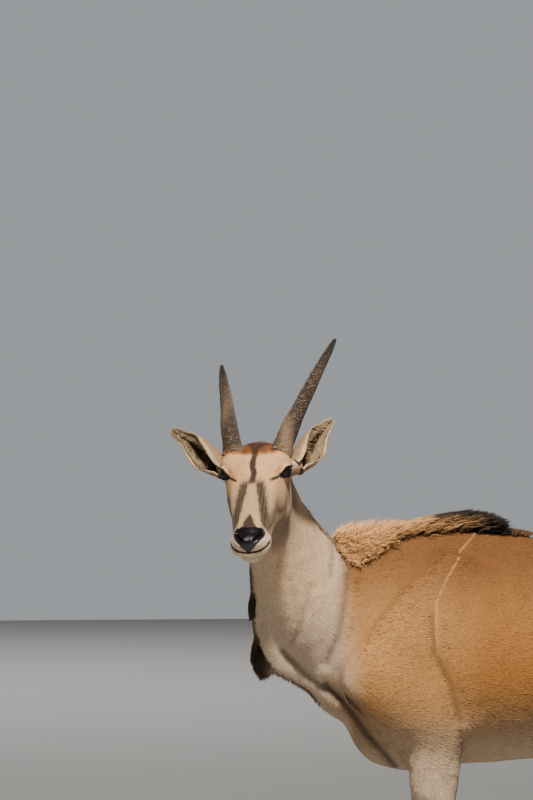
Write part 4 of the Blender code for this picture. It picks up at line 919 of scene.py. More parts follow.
# %% Press the face
# Route, depth, half width, and how high its edges stand as a share of the depth.
GROOVES = (
    (MOUTH, 0.0050, 0.0022, 0.30),
    (PHILTRUM, 0.0026, 0.0014, 0.20),
    (NOSTRIL, 0.0095, 0.0036, 0.20),
    (TEAR_LINE, 0.0020, 0.0032, 0.30),
)
LID_HALF = 0.0190                  # half length of the opening between the lids
LID_ABOVE = 0.0116                 # its height over the line of the corners
LID_BELOW = 0.0098                 # and below it


def lid_gap(along, over):
    """Below 0 inside the almond: |over| less its half height times 1 - (along / half length)^2."""
    high = np.where(over > 0, LID_ABOVE, LID_BELOW) * (1 - (along / LID_HALF) ** 2)
    return np.abs(over) - high


def press_face(points, normals):
    """Presses the grooves in along the normals, and opens the lids towards each eye's centre."""
    head = in_head(points)
    near = np.linalg.norm(head - (0.10, 0, -0.02), axis=1) < 0.21
    folded = head[near]
    folded[:, 1] = np.abs(folded[:, 1])
    lift = np.zeros(len(folded))
    for route, depth, half, lip in GROOVES:
        away = distance_to_route(folded, route)
        lift += depth * (lip * np.exp(-(away / (2.3 * half)) ** 2) - np.exp(-(away / half) ** 2))
    points = points.copy()
    points[near] += normals[near] * lift[:, None]
    for sign in HEAD_SIDES.values():
        centre, slit, over, look = eye_frame(sign)
        out = points - centre
        radius = np.linalg.norm(out, axis=1)
        chosen = (radius < 0.036) & (out @ look > 0.2 * radius)
        out, radius = out[chosen], radius[chosen]
        ball = out * (EYE_RADIUS / radius)[:, None]
        over_line = ball @ over
        gap = lid_gap(ball @ slit, over_line)
        edge = EYE_RADIUS + 0.0024 + 0.0010 * np.exp(-((gap - 0.0022) / 0.0016) ** 2)
        near_edge = np.exp(-(np.clip(gap, 0, None) / 0.0050) ** 2)
        new = radius + (edge - radius) * near_edge
        new -= 0.0013 * np.exp(-((gap - 0.0062) / 0.0014) ** 2) * ramp(over_line, -0.002, 0.002)
        new -= 0.0008 * np.exp(-((gap - 0.0058) / 0.0016) ** 2) * ramp(over_line, 0.002, -0.002)
        new += (EYE_RADIUS - 0.0024 - new) * ramp(gap, 0.0004, -0.0006)
        points[chosen] = centre + out * (new / radius)[:, None]
    return points


skin_places = press_face(skin_places, skin_normals)
skin_mesh.vertices.foreach_set("co", (skin_places + SHIFT).astype(np.float32).ravel())
skin_mesh.update()
skin_normals = gather_normals(skin_mesh)
print("skin pressed; triangles:", sum(len(p.vertices) - 2 for p in skin_mesh.polygons))

# %% [markdown]
# ## Colours and markings of the coat
# The coat runs from warm tawny on the barrel through grey fawn on the neck to cream on the
# muzzle, with dark bands on the face, a thin pale stripe behind the shoulder and a dark line
# along the back. One function gives the colour of any place on the body. The skin and every
# tuft use it, so they always agree, and it needs no picture: only named tones and soft masks.

# %% Named tones
def tone(red, green, blue):
    """A colour as a painter reads it, 0 to 255, turned to the linear light that a shader wants."""
    value = np.array((red, green, blue)) / 255.0
    return np.where(value <= 0.04045, value / 12.92, ((value + 0.055) / 1.055) ** 2.4)


TAWNY = tone(118, 77, 33)
TAWNY_BACK = tone(82, 50, 19)
SHOULDER = tone(136, 96, 52)
# The next two tones are darkened as painted shade: the low flank where it turns down, and the underside.
SHADED_LOW_FLANK = tone(114, 86, 58)
SHADED_BELLY = tone(112, 90, 66)
NECK = tone(168, 141, 110)
NECK_LOW = tone(156, 136, 114)
DEWLAP = tone(156, 138, 116)
LEG = tone(162, 142, 118)
LEG_LOW = tone(150, 138, 120)
CREAM = tone(182, 162, 134)
CHEEK = tone(144, 119, 92)
FOREHEAD = tone(166, 126, 88)
RUST = tone(112, 64, 22)
FACE_DARK = tone(34, 23, 17)
FACE_MIDDLE = tone(140, 112, 84)
JAW = tone(128, 110, 92)
DARK_BROWN = tone(28, 18, 13)
NEAR_BLACK = tone(14, 11, 9)
PALE_STRIPE = tone(176, 132, 84)


def mix(colours, tone_value, mask):
    """Moves each colour towards a tone by its mask."""
    return colours + (tone_value - colours) * np.clip(mask, 0, 1)[:, None]


def trunk_tones(points, normals):
    """Tawny barrel, darker back, greyer low flank with painted shade, painted shade on the underside,
    grey-fawn neck, pale legs.
    """
    x, y, z = points.T
    colour = np.tile(TAWNY, (len(points), 1))
    colour = mix(colour, SHOULDER, ramp(x, 0.20, 0.02))
    colour = mix(colour, TAWNY_BACK, 0.90 * ramp(z, 1.10, 1.32) * ramp(normals[:, 2], -0.2, 0.4))
    # The low flank is greyer, and also darker as painted shade where it turns down.
    colour = mix(colour, SHADED_LOW_FLANK, 0.8 * ramp(z, 1.00, 0.84))
    # Faces that point down are darkened: painted shade under the body.
    colour = mix(colour, SHADED_BELLY, 0.8 * ramp(normals[:, 2], -0.45, -0.9) * ramp(z, 0.70, 0.76))
    wander = 0.02 * gentle_noise(points, 0.15, 21)
    colour = mix(colour, NECK_LOW, ramp(x + wander, -0.13, -0.22) * ramp(z, 0.85, 1.0))
    colour = mix(colour, NECK, ramp(x + wander, -0.16, -0.27) * ramp(z, 1.08, 1.25))
    fold = distance_to_route(points, DEWLAP_LINE)
    colour = mix(colour, DEWLAP, 0.8 * ramp(fold, 0.075, 0.035))
    colour = mix(colour, LEG, ramp(z, 0.94, 0.66))
    colour = mix(colour, LEG_LOW, 0.7 * ramp(z, 0.42, 0.25))
    return colour


def trunk_marks(points, normals, colour):
    """The thin pale stripes, the dark line of the back, the dark marks of the legs, and painted shade along
    the folds.
    """
    x, y, z = points.T
    side = ramp(np.abs(normals[:, 1]), 0.10, 0.35)
    for place, half, strength, lean in STRIPES:
        away = np.abs(from_stripe(points, place, lean))
        colour = mix(colour, PALE_STRIPE, strength * side * ramp(away, 1.6 * half, 0.4 * half)
                     * ramp(z, STRIPE_LOW, 1.10))
    back = ramp(np.abs(y), 0.020, 0.010) * ramp(normals[:, 2], 0.5, 0.8) * ramp(x, 0.20, 0.34)
    colour = mix(colour, DARK_BROWN, 0.75 * back * ramp(z, 0.9, 1.0))
    for xs, offset, _ in FEET:
        for name, sign in SIDES.items():
            foot = (np.abs(x - xs[name] - offset) < 0.16) & (y * sign > 0)
            ring = ramp(np.abs(z - 0.098 + 0.3 * (x - xs[name])), 0.030, 0.012)
            colour = mix(colour, DARK_BROWN, 0.7 * foot * ring * ramp(x - xs[name], -0.055, -0.01))
    patch = ramp(np.abs(z - 0.662 + 0.02 * gentle_noise(points, 0.04, 33)), 0.055, 0.015)
    for name, sign in SIDES.items():
        before = ramp(np.abs(x - FORE_X[name] + 0.030), 0.055, 0.020) * ramp(normals[:, 0], 0.35, -0.25)
        before *= y * sign > 0
        colour = mix(colour, tone(84, 72, 60), 0.80 * patch * before)
    # Each fold's line is darkened: painted shade in the crease.
    for route, depth, half in FOLDS:
        away = distance_to_route(points[:, [0, 2]], route)
        colour = mix(colour, colour * 0.30, 110 * depth * side * np.exp(-(away / (0.60 * half)) ** 2))
    knee = ramp(np.abs(z - KNEE_Z + 0.01), 0.055, 0.015) * ramp(normals[:, 0], -0.3, -0.8) * (x < 0.4)
    return mix(colour, tone(140, 118, 95), 0.5 * knee)


# How far down the front of the muzzle, and the pad's half width there.
PAD_ROWS = (0.1390, 0.1430, 0.1490, 0.1560, 0.1640, 0.1730, 0.1870, 0.1960, 0.2000)
PAD_HALF = (0.0200, 0.0290, 0.0350, 0.0350, 0.0310, 0.0245, 0.0195, 0.0095, 0.0030)


def down_muzzle(forward, up):
    """Distance along the slanting front of the muzzle, growing downwards."""
    return 0.682 * forward - 0.731 * up


def nose_pad(points, normals):
    """The bare pad: the front of the muzzle over the mouth, from nostril to nostril."""
    head = in_head(points)
    f, side, u = head.T
    ahead = normals @ HEAD_AXES[0]
    down = down_muzzle(f, u)
    half = np.interp(down, PAD_ROWS, PAD_HALF)
    pad = (f > 0.215) & (np.abs(side) < half) & (ahead > -0.1)
    pad &= (down > PAD_ROWS[0]) & (down < PAD_ROWS[-1])
    folded = np.column_stack((f, np.abs(side), u))
    rim = (distance_to_route(folded, NOSTRIL) < 0.0115) & (down < 0.180)
    return pad | (rim & (np.abs(side) < half + 0.001))


NOSE_TONE = tone(11, 9, 10)
# The dark edge from cheek to jaw, and a band of painted shade on the cheek behind the nose: forward, to the
# side, up.
JAW_LINE = ((0.0652, 0.0697, -0.0721), (0.0803, 0.0648, -0.0674), (0.1097, 0.0549, -0.0384),
            (0.1453, 0.0508, -0.0374), (0.1909, 0.0453, -0.0201))
CHEEK_PAINTED_SHADE = ((0.1097, 0.0500, -0.0250), (0.1500, 0.0480, -0.0200), (0.1909, 0.0420, -0.0150))
# A route a little inside each nostril, along which the hole is painted darker than the pad: painted shade.
NOSTRIL_PAINTED_SHADE = tuple((f - 0.006, side - 0.001, u - 0.003) for f, side, u in NOSTRIL)

# A thin dark streak down the left cheek from the outer corner of the eye: forward, left, up.
CHEEK_STREAK = ((0.0157, 0.0840, -0.0128), (0.0377, 0.0756, -0.0443), (0.0791, 0.0650, -0.0772))


def rust_edge(forward, across):
    """How far each place is in front of a line that runs further back away from the middle."""
    return forward + 0.45 * np.minimum(across, 0.03) + 0.10 * np.clip(across - 0.03, 0, 1)


def head_tones(points, colour):
    """Grey-fawn cheeks, pale forehead, rust patch, dark face bands and cream muzzle, with painted shade
    behind the nose and in the nostrils, and painted highlights over the eyes and on the left jaw.
    """
    head = in_head(points)
    f, side, u = head.T
    across = np.abs(side)
    reach = head - HEAD_MIDDLE
    reach[:, 0] *= np.where(f > HEAD_MIDDLE[0], 0.65, 1.0)
    on = ramp(np.linalg.norm(reach, axis=1), 0.225, 0.180)
    front = ramp(u, -0.040, -0.012)
    wave = 0.0022 * np.sin(f * 95.0) + 0.0012 * gentle_noise(head, 0.03, 51)
    rough = 0.003 * gentle_noise(head, 0.012, 52)
    face = np.tile(CHEEK, (len(points), 1))
    face = mix(face, JAW, 0.8 * ramp(u, -0.060, -0.10) * ramp(f, 0.19, 0.10))
    face = mix(face, FOREHEAD, front * ramp(f, 0.105, 0.060) * ramp(f, -0.09, -0.05))
    face = mix(face, FACE_MIDDLE, 0.9 * front * ramp(f, 0.060, 0.085) * ramp(across, 0.040, 0.020))
    band = across + rough - 0.0190 - 0.165 * (f - 0.080)
    streaks = 0.90 + 0.10 * np.sin(across * 900 + 2 * gentle_noise(head, 0.05, 53))
    face = mix(face, FACE_DARK, streaks * front * ramp(band, 0.0190, 0.0060) * ramp(band, -0.0135, -0.0070)
               * ramp(f, 0.052, 0.082) * ramp(f, 0.226, 0.200))
    chevron = np.abs(across + 0.5 * rough - 0.0030 - 0.45 * (f - 0.152))
    face = mix(face, FACE_MIDDLE * 1.12, 0.9 * front * ramp(chevron, 0.0068, 0.0030) * ramp(f, 0.145, 0.158)
               * ramp(f, 0.214, 0.202))
    wedge = 0.45 * (f - 0.170) - across + rough
    face = mix(face, FACE_DARK * 0.8, 0.95 * front * ramp(wedge, -0.001, 0.004) * ramp(f, 0.160, 0.176)
               * ramp(f, 0.228, 0.220))
    face = mix(face, DARK_BROWN, 0.97 * front * ramp(np.abs(side + wave) + 0.5 * rough, 0.0105, 0.0050)
               * ramp(f, -0.030, -0.015) * ramp(f, 0.088, 0.074))
    patch = ramp(across + rough, 0.092, 0.080) * ramp(rust_edge(f, across) + 2 * rough, -0.004, -0.018)
    patch *= ramp(f, -0.115, -0.080) * ramp(u, -0.02, 0.005)
    face = mix(face, RUST, 0.95 * patch)
    face = mix(face, DARK_BROWN, 0.80 * patch * ramp(across + 0.3 * (f + 0.02) + rough, 0.011, 0.003))
    low = ramp(down_muzzle(f, u), 0.142, 0.160)
    muzzle = 0.95 * ramp(f + 0.2 * across, 0.212, 0.232)
    face = mix(face, CREAM, muzzle * np.maximum(low, ramp(across, 0.031, 0.036)))
    face = mix(face, CREAM, 0.75 * ramp(f, 0.13, 0.19) * ramp(u, -0.026, -0.045))
    folded = np.column_stack((f, across, u))
    face = mix(face, FACE_DARK, 0.55 * ramp(distance_to_route(folded, JAW_LINE) + 2 * rough, 0.0085, 0.0020))
    # A darkened copy of the cheek tone along that band: painted shade.
    face = mix(face, CHEEK * 0.5, 0.6 * ramp(distance_to_route(folded, CHEEK_PAINTED_SHADE) + 2 * rough, 0.024, 0.006))
    lips = 0.95 * ramp(distance_to_route(folded, MOUTH), 0.0056, 0.0030) * ramp(f, 0.20, 0.235)
    face = mix(face, NEAR_BLACK, lips)
    face = mix(face, NEAR_BLACK, ramp(distance_to_route(folded, PHILTRUM), 0.0036, 0.0020))
    face = mix(face, NOSE_TONE, ramp(distance_to_route(folded, NOSTRIL), 0.013, 0.011))
    face = mix(face, NOSE_TONE, 1.0 * nose_pad(points, HEAD_AXES[:1]))
    # The inside of each nostril, darker than the pad: painted shade in the hole.
    face = mix(face, NEAR_BLACK * 0.5, ramp(distance_to_route(folded, NOSTRIL_PAINTED_SHADE), 0.0050, 0.0030))
    for sign in HEAD_SIDES.values():
        tear = distance_to_route(head, [mirrored(p, sign) for p in TEAR_LINE])
        face = mix(face, NEAR_BLACK, 0.92 * ramp(tear, 0.0052, 0.0022))
        eye = np.linalg.norm(head - mirrored(EYE_PLACE, sign), axis=1)
        out = unit(head - mirrored(EYE_PLACE, sign)) @ unit(mirrored(EYE_LOOK, sign))
        # A paler copy of the forehead tone just over each eye: a painted highlight on the brow.
        face = mix(face, FOREHEAD * 1.10, 0.30 * ramp(eye, 0.036, 0.029) * ramp(u, 0.004, 0.012))
        centre, slit, over, look = eye_frame(sign)
        ball = unit(points - centre) * EYE_RADIUS
        gap = lid_gap(ball @ slit, ball @ over)
        rim = ramp(gap, 0.0036, 0.0014) * ramp(eye, 0.032, 0.028) * ramp(out, 0.0, 0.2)
        face = mix(face, NEAR_BLACK, rim)
        ear_foot = np.linalg.norm(head - mirrored((-0.064, 0.088, -0.032), sign), axis=1)
        face = mix(face, CREAM, 0.75 * ramp(ear_foot, 0.028, 0.014))
        if sign == 1:
            streak = distance_to_route(head, CHEEK_STREAK)
            face = mix(face, DARK_BROWN, 0.6 * ramp(streak, 0.0055, 0.0020))
            # A pale spot on the angle of the left jaw: a painted highlight.
            spot = np.linalg.norm((head - (0.042, 0.068, -0.110)) / (1.0, 1.0, 1.3), axis=1)
            face = mix(face, CREAM, 0.6 * ramp(spot, 0.026, 0.012))
    return colour + (face - colour) * on[:, None]


def coat_colour(points, normals):
    """The coat's colour at places on the body, with a little natural mottling."""
    colour = trunk_marks(points, normals, trunk_tones(points, normals))
    colour = head_tones(points, colour)
    mottle = 1 + 0.07 * gentle_noise(points, 0.05, 41) + 0.08 * gentle_noise(points, 0.012, 42)
    return np.clip(colour * mottle[:, None], 0, 1)


def paint(mesh, colours):
    """Stores a colour at each vertex, which a material reads as the attribute Coat."""
    layer = mesh.color_attributes.new(name="Coat", type="FLOAT_COLOR", domain="POINT")
    rgba = np.column_stack((colours, np.ones(len(colours)))).astype(np.float32)
    layer.data.foreach_set("color", rgba.ravel())


clock = time.time()
paint(skin_mesh, coat_colour(skin_places, skin_normals))
print("skin painted in", round(time.time() - clock, 1), "s")

# %% [markdown]
# ## Materials of skin and hair
# Hair is a pale fibre over skin: it scatters light softly and shows fine streaks along its lie.
# The materials read the painted colour, vary it with a fine noise stretched along the body, and
# add a bump of the same streaks. The nose pad is bare, wet and pebbled, so it has its own.

# %% Coat, hair and nose materials
def new_material(name, roughness, sheen=0.0):
    """A material with its shader and the constants that are the same all over."""
    material = bpy.data.materials.new(name)
    material.use_nodes = True
    shader = material.node_tree.nodes["Principled BSDF"]
    shader.inputs["Roughness"].default_value = roughness
    shader.inputs["Specular IOR Level"].default_value = 0.16
    shader.inputs["Sheen Weight"].default_value = sheen
    shader.inputs["Sheen Roughness"].default_value = 0.5
    return material, material.node_tree.nodes, material.node_tree.links, shader


def stretched_noise(nodes, links, scale, stretch, axes=None):
    """Noise read in object coordinates, drawn out by the stretch along X or the first given axis."""
    place = nodes.new("ShaderNodeTexCoord")
    mapping = nodes.new("ShaderNodeMapping")
    mapping.vector_type = "TEXTURE"
    if axes is not None:
        mapping.inputs["Rotation"].default_value = Matrix(np.asarray(axes).T.tolist()).to_euler()
    mapping.inputs["Scale"].default_value = (stretch / scale, 1 / scale, 1 / scale)
    noise = nodes.new("ShaderNodeTexNoise")
    noise.inputs["Scale"].default_value = 1.0
    links.new(place.outputs["Object"], mapping.inputs["Vector"])
    links.new(mapping.outputs["Vector"], noise.inputs["Vector"])
    return noise


def painted(nodes, links, shader, noise, low, high):
    """Base colour: the painted coat times a brightness that the noise moves from low to high."""
    coat = nodes.new("ShaderNodeAttribute")
    coat.attribute_name = "Coat"
    reach = nodes.new("ShaderNodeMapRange")
    reach.inputs["From Min"].default_value = 0.3
    reach.inputs["From Max"].default_value = 0.7
    reach.inputs["To Min"].default_value = low
    reach.inputs["To Max"].default_value = high
    product = nodes.new("ShaderNodeVectorMath")
    product.operation = "SCALE"
    links.new(noise.outputs["Fac"], reach.inputs["Value"])
    links.new(coat.outputs["Color"], product.inputs[0])
    links.new(reach.outputs["Result"], product.inputs["Scale"])
    links.new(product.outputs["Vector"], shader.inputs["Base Color"])


def bumped(nodes, links, shader, noise, strength, distance):
    """A bump from a noise."""
    bump = nodes.new("ShaderNodeBump")
    bump.inputs["Strength"].default_value = strength
    bump.inputs["Distance"].default_value = distance
    links.new(noise.outputs["Fac"], bump.inputs["Height"])
    links.new(bump.outputs["Normal"], shader.inputs["Normal"])


def coat_material(name, scale, stretch, strength, low=0.86, high=1.14, roughness=0.78, sheen=0.03):
    """Short or long hair: painted colour with streaks, and their bump."""
    material, nodes, links, shader = new_material(name, roughness, sheen)
    noise = stretched_noise(nodes, links, scale, stretch)
    painted(nodes, links, shader, noise, low, high)
    bumped(nodes, links, shader, noise, strength, 0.0012)
    return material


def nose_material():
    """Wet black skin with small pebbles: a bump from the edges of rounded cells."""
    material, nodes, links, shader = new_material("wet nose", 0.28)
    shader.inputs["Coat Weight"].default_value = 0.5
    shader.inputs["Coat Roughness"].default_value = 0.12
    place = nodes.new("ShaderNodeTexCoord")
    cells = nodes.new("ShaderNodeTexVoronoi")
    cells.inputs["Scale"].default_value = 420.0
    bump = nodes.new("ShaderNodeBump")
    bump.invert = True
    bump.inputs["Strength"].default_value = 0.5
    bump.inputs["Distance"].default_value = 0.0008
    noise = stretched_noise(nodes, links, 420.0, 1.0)
    painted(nodes, links, shader, noise, 0.75, 1.25)
    links.new(place.outputs["Object"], cells.inputs["Vector"])
    links.new(cells.outputs["Distance"], bump.inputs["Height"])
    links.new(bump.outputs["Normal"], shader.inputs["Normal"])
    return material


SHORT_COAT = coat_material("short coat", 400.0, 2.5, 0.5, low=0.70, high=1.30)
NOSE = nose_material()
skin_mesh.materials.append(SHORT_COAT)
skin_mesh.materials.append(NOSE)


def face_centres(mesh):
    """Middle and normal of each face."""
    centres = np.empty(len(mesh.polygons) * 3, np.float32)
    normals = np.empty(len(mesh.polygons) * 3, np.float32)
    mesh.polygons.foreach_get("center", centres)
    mesh.polygon_normals.foreach_get("vector", normals)
    return centres.reshape(-1, 3).astype(float) - SHIFT, normals.reshape(-1, 3).astype(float)


slots = nose_pad(*face_centres(skin_mesh)).astype(np.int32)
skin_mesh.polygons.foreach_set("material_index", slots)
skin_mesh.update()
print("faces of the nose pad:", int(slots.sum()))

# %% [markdown]
# ## Horns
# An eland's horn is a straight cone of horn over bone. A ridge winds round its lower half, and
# rough rings cross it. The shape is a tube whose radius changes with its height and its angle,
# which gives ridge and rings as real form and not only as a picture of them.

# %% Makers of pieces and the two horns
def new_piece(name, points, faces, material, colours, uv=None):
    """An object from places in the design frame: on the floor frame, painted and riding the root.

    Its faces are turned outwards: the sum of a . (b x c) over all triangles must be positive.
    """
    fans = np.vstack([f[:, [0, k, k + 1]] for f in faces for k in range(1, f.shape[1] - 1)])
    a, b, c = points[fans[:, 0]], points[fans[:, 1]], points[fans[:, 2]]
    if (np.cross(a, b) * c).sum() < 0:
        faces = [f[:, ::-1] for f in faces]
    mesh = in_mesh(points + SHIFT, faces)
    mesh.name = name
    paint(mesh, colours)
    if uv is not None:
        owner = np.empty(len(mesh.loops), np.int32)
        mesh.loops.foreach_get("vertex_index", owner)
        mesh.uv_layers.new(name="OFBake").data.foreach_set("uv", uv[owner].astype(np.float32).ravel())
    mesh.materials.append(material)
    mesh.shade_smooth()
    piece = bpy.data.objects.new(name, mesh)
    bpy.context.scene.collection.objects.link(piece)
    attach(piece, "root")
    print(name, "triangles", sum(len(f) * (f.shape[1] - 2) for f in faces))
    return piece


def tube_faces(rings, sides):
    """Quads between the rings of a tube that is closed round, then a fan at each end.

    The last two places are the middles of the first and the last ring.
    """
    row = np.arange(rings - 1)[:, None] * sides
    here = np.arange(sides)[None, :]
    following = (here + 1) % sides
    quads = np.stack((row + here, row + following, row + sides + following, row + sides + here), -1)
    first, last = rings * sides, rings * sides + 1
    start = np.stack((following[0], here[0], np.full(sides, first)), -1)
    end = np.stack((here[0], following[0], np.full(sides, 0)), -1) + (rings - 1) * sides
    end[:, 2] = last
    return [quads.reshape(-1, 4), np.vstack((start, end))]


def closed_tube(rows):
    """Places and faces of a tube from an array of rings, with a middle added at both ends."""
    rings, sides = rows.shape[:2]
    ends = np.stack((rows[0].mean(axis=0), rows[-1].mean(axis=0)))
    return np.vstack((rows.reshape(-1, 3), ends)), tube_faces(rings, sides)


def on_tube(values, rows, first, last):
    """One value for each place of a closed tube, ending with those of its two end middles."""
    return np.concatenate((np.broadcast_to(values, rows.shape[:2]).ravel(), (first, last)))


HORN_RINGS, HORN_SIDES = 170, 44
HORN_LENGTH = {"left": 0.498, "right": 0.401}
HORN_RADIUS = 0.0245
HORN_TURNS = 1.4
HORN_TAN = tone(56, 42, 28)
HORN_GREY = tone(42, 33, 26)
HORN_TIP = tone(22, 18, 16)
HORN_FLECK = tone(138, 114, 88)


def horn_material(name, axes):
    """Dry horn: painted colour, long fibres along the horn and their bump."""
    material, nodes, links, shader = new_material(name, 0.48)
    noise = stretched_noise(nodes, links, 900.0, 14.0, axes=axes)
    painted(nodes, links, shader, noise, 0.72, 1.28)
    bumped(nodes, links, shader, noise, 0.5, 0.0008)
    return material


def make_horn(name):
    """Radius = taper x (1 + ridge + rings); the ridge is a cosine of the angle less the winding."""
    sign = HEAD_SIDES[name]
    length = HORN_LENGTH[name]
    aim = head_turned(mirrored(HORN_AIM[name], sign))
    root = on_head(mirrored(HORN_ROOT, sign))
    across = unit(np.cross(aim, HEAD_AXES[2]))
    up = np.cross(across, aim)
    s = np.concatenate(([-0.024, -0.012], np.linspace(0, 1, HORN_RINGS)))[:, None]
    angle = np.linspace(0, 2 * math.pi, HORN_SIDES, endpoint=False)[None, :]
    inner = np.clip(s, 0, 1)
    taper = HORN_RADIUS * (0.33 + 0.67 * (1 - inner) ** 0.85) * (1 - 0.50 * inner ** 12)
    taper = taper * (1 + 0.16 * np.exp(-inner / 0.09))
    taper = taper * np.sqrt(np.clip(1 - np.clip((inner - 0.982) / 0.018, 0, 1) ** 2, 0.02, 1))
    strength = np.clip(1.25 - 1.7 * inner, 0, 1)
    winding = angle - sign * 2 * math.pi * HORN_TURNS * inner ** 0.8
    ridge = (0.5 + 0.5 * np.cos(winding)) ** 3
    second = (0.5 + 0.5 * np.cos(winding + 2.4)) ** 5
    beat = (2 * math.pi * (length / 0.0085) * inner + 0.9 * np.sin(winding)
            + 0.6 * np.sin(2 * angle + 9 * inner))
    rings = np.clip(np.sin(beat), -0.5, 1) * np.clip(1.15 - 1.5 * inner, 0, 1)
    radius = taper * (1 + strength * (0.19 * ridge + 0.05 * second - 0.05) + 0.032 * rings)
    spots = np.broadcast_arrays(length * inner, 0.02 * np.cos(angle), 0.02 * np.sin(angle))
    spots = np.stack(spots, axis=-1)
    radius = radius * (1 + 0.05 * gentle_noise(spots.reshape(-1, 3), 0.018, 73).reshape(radius.shape))
    bow = up * (0.012 * np.sin(math.pi * inner))
    rows = ((root + aim * length * s + bow)[:, None, :]
            + radius[:, :, None] * (np.cos(angle)[..., None] * across + np.sin(angle)[..., None] * up))
    points, faces = closed_tube(rows)
    flat, groove = on_tube(inner, rows, 0, 1), on_tube(rings, rows, 0, 0)
    high, angles = on_tube(strength * ridge, rows, 0, 0), on_tube(angle, rows, 0, 0)
    uneven = gentle_noise(points, 0.05, 71)
    colour = np.tile(HORN_TAN, (len(points), 1))
    hatch = np.sin(angles * 11 + flat * length * 420) * np.sin(angles * 11 - flat * length * 420)
    colour = mix(colour, HORN_GREY, 0.75 * ramp(hatch, -0.02, -0.35))
    colour = mix(colour, HORN_GREY, ramp(flat + 0.08 * uneven, 0.0, 0.15))
    colour = mix(colour, HORN_TIP, 0.9 * ramp(flat, 0.62, 0.97))
    flecks = 0.60 * ramp(gentle_noise(points, 0.007, 72), 0.26, 0.5) * ramp(flat, 1.0, 0.6)
    colour = mix(colour, HORN_FLECK, flecks)
    colour = mix(colour, HORN_TIP, 0.55 * ramp(groove, 0.1, -0.5) * ramp(flat, 0.75, 0.4))
    colour = mix(colour, HORN_FLECK, 0.30 * high)
    material = horn_material("horn " + name, (aim, across, up))
    piece = new_piece("horn_shell_" + name, points, faces, material, colour)
    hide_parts("horn_" + name)
    return piece


horns = [make_horn(name) for name in SIDES]
print("horns made:", len(horns))

# %% [markdown]
# ## Ears
# The ear is a leaf of gristle, rolled to a tube at its root and open as a cup above, with a
# pale rim, dark lines inside and long pale hairs across the opening. Its middle surface is a
# formula of the height s and the place v across it, and the wall is laid on both sides of it.

# %% Two ears
EAR_RINGS, EAR_SIDES = 74, 31
EAR_LENGTH = 0.190
EAR_WIDTH = 0.068
EAR_SEAT = 0.014
EAR_OUT = tone(112, 87, 61)
EAR_IN = tone(122, 96, 68)
EAR_DARK = tone(30, 20, 15)


def ear_frame(name):
    """Root, and the directions along an ear, across it and out of its opening."""
    sign = HEAD_SIDES[name]
    aim = head_turned(mirrored(EAR_AIM[name], sign))
    facing = head_turned((0.80, 0.35 * sign, 0.48))
    facing = unit(facing - aim * (facing @ aim))
    return on_head(mirrored(EAR_ROOT, sign)), aim, np.cross(facing, aim), facing


def ear_place(name, s, v):
    """Middle surface of an ear: s runs from root to tip, v from edge -1 to edge 1."""
    root, aim, across, facing = ear_frame(name)
    s, v = np.broadcast_arrays(s, v)
    inner = np.clip(s, 0, 1)
    half = EAR_WIDTH / 2 * (0.52 + 0.48 * np.sin(math.pi * np.clip(inner * 1.15 + 0.10, 0, 1)) ** 0.8)
    half = half * np.sqrt(np.clip(1 - np.clip((inner - 0.42) / 0.59, 0, 1) ** 2.5, 0, 1)) + 0.0012
    roll = math.radians(118) * (1 - inner) ** 1.1 + math.radians(42)
    radius = half / np.sin(np.clip(roll, 0, math.pi / 2))
    wavy = 1 + 0.03 * np.sin(inner * 19 + 2 * v) * np.abs(v) ** 3
    x = radius * np.sin(roll * v) * wavy
    depth = radius * (1 - np.cos(roll * v))
    lean = -0.020 * np.sin(math.pi * inner / 2) ** 2
    return (root + aim * (EAR_LENGTH * s + EAR_SEAT - 0.004)[..., None] + across * x[..., None]
            + facing * (depth + lean - half * 0.9)[..., None])


def ear_normal(name, s, v):
    """Direction out of the ear's hollow side, from two small steps on its middle surface."""
    along = ear_place(name, s + 0.004, v) - ear_place(name, s - 0.004, v)
    round_it = ear_place(name, s, v + 0.01) - ear_place(name, s, v - 0.01)
    return unit(np.cross(along, round_it))


def ear_tones(s, v, hollow):
    """Pale rim, dark lines inside, fawn back; hollow is 1 on the inner side."""
    flat = np.column_stack((s, v, hollow))
    edge = ramp(np.abs(v) + 0.05 * gentle_noise(flat, 0.3, 81), 0.84, 0.94) + ramp(s, 0.90, 0.98)
    colour = np.tile(EAR_OUT, (len(s), 1))
    inside = np.tile(EAR_IN, (len(s), 1))
    for line, wide in ((-0.50, 0.19), (0.0, 0.20), (0.50, 0.19)):
        away = np.abs(v - line - 0.10 * np.sin(s * 4))
        inside = mix(inside, EAR_DARK, 0.8 * ramp(away, wide, 0.3 * wide) * ramp(s, 0.62, 0.48))
    shaded = 0.92 * ramp(np.abs(v), 0.46, 0.24) * ramp(s, 0.34, 0.46) * ramp(s, 0.88, 0.74)
    inside = mix(inside, EAR_DARK, shaded * (0.72 + 0.28 * np.sin(v * 24 + 3 * s)))
    inside = mix(inside, EAR_DARK, 0.85 * ramp(s, 0.30, 0.10))
    colour = colour + (inside - colour) * hollow[:, None]
    return mix(colour, CREAM, 0.60 * np.clip(edge, 0, 1))


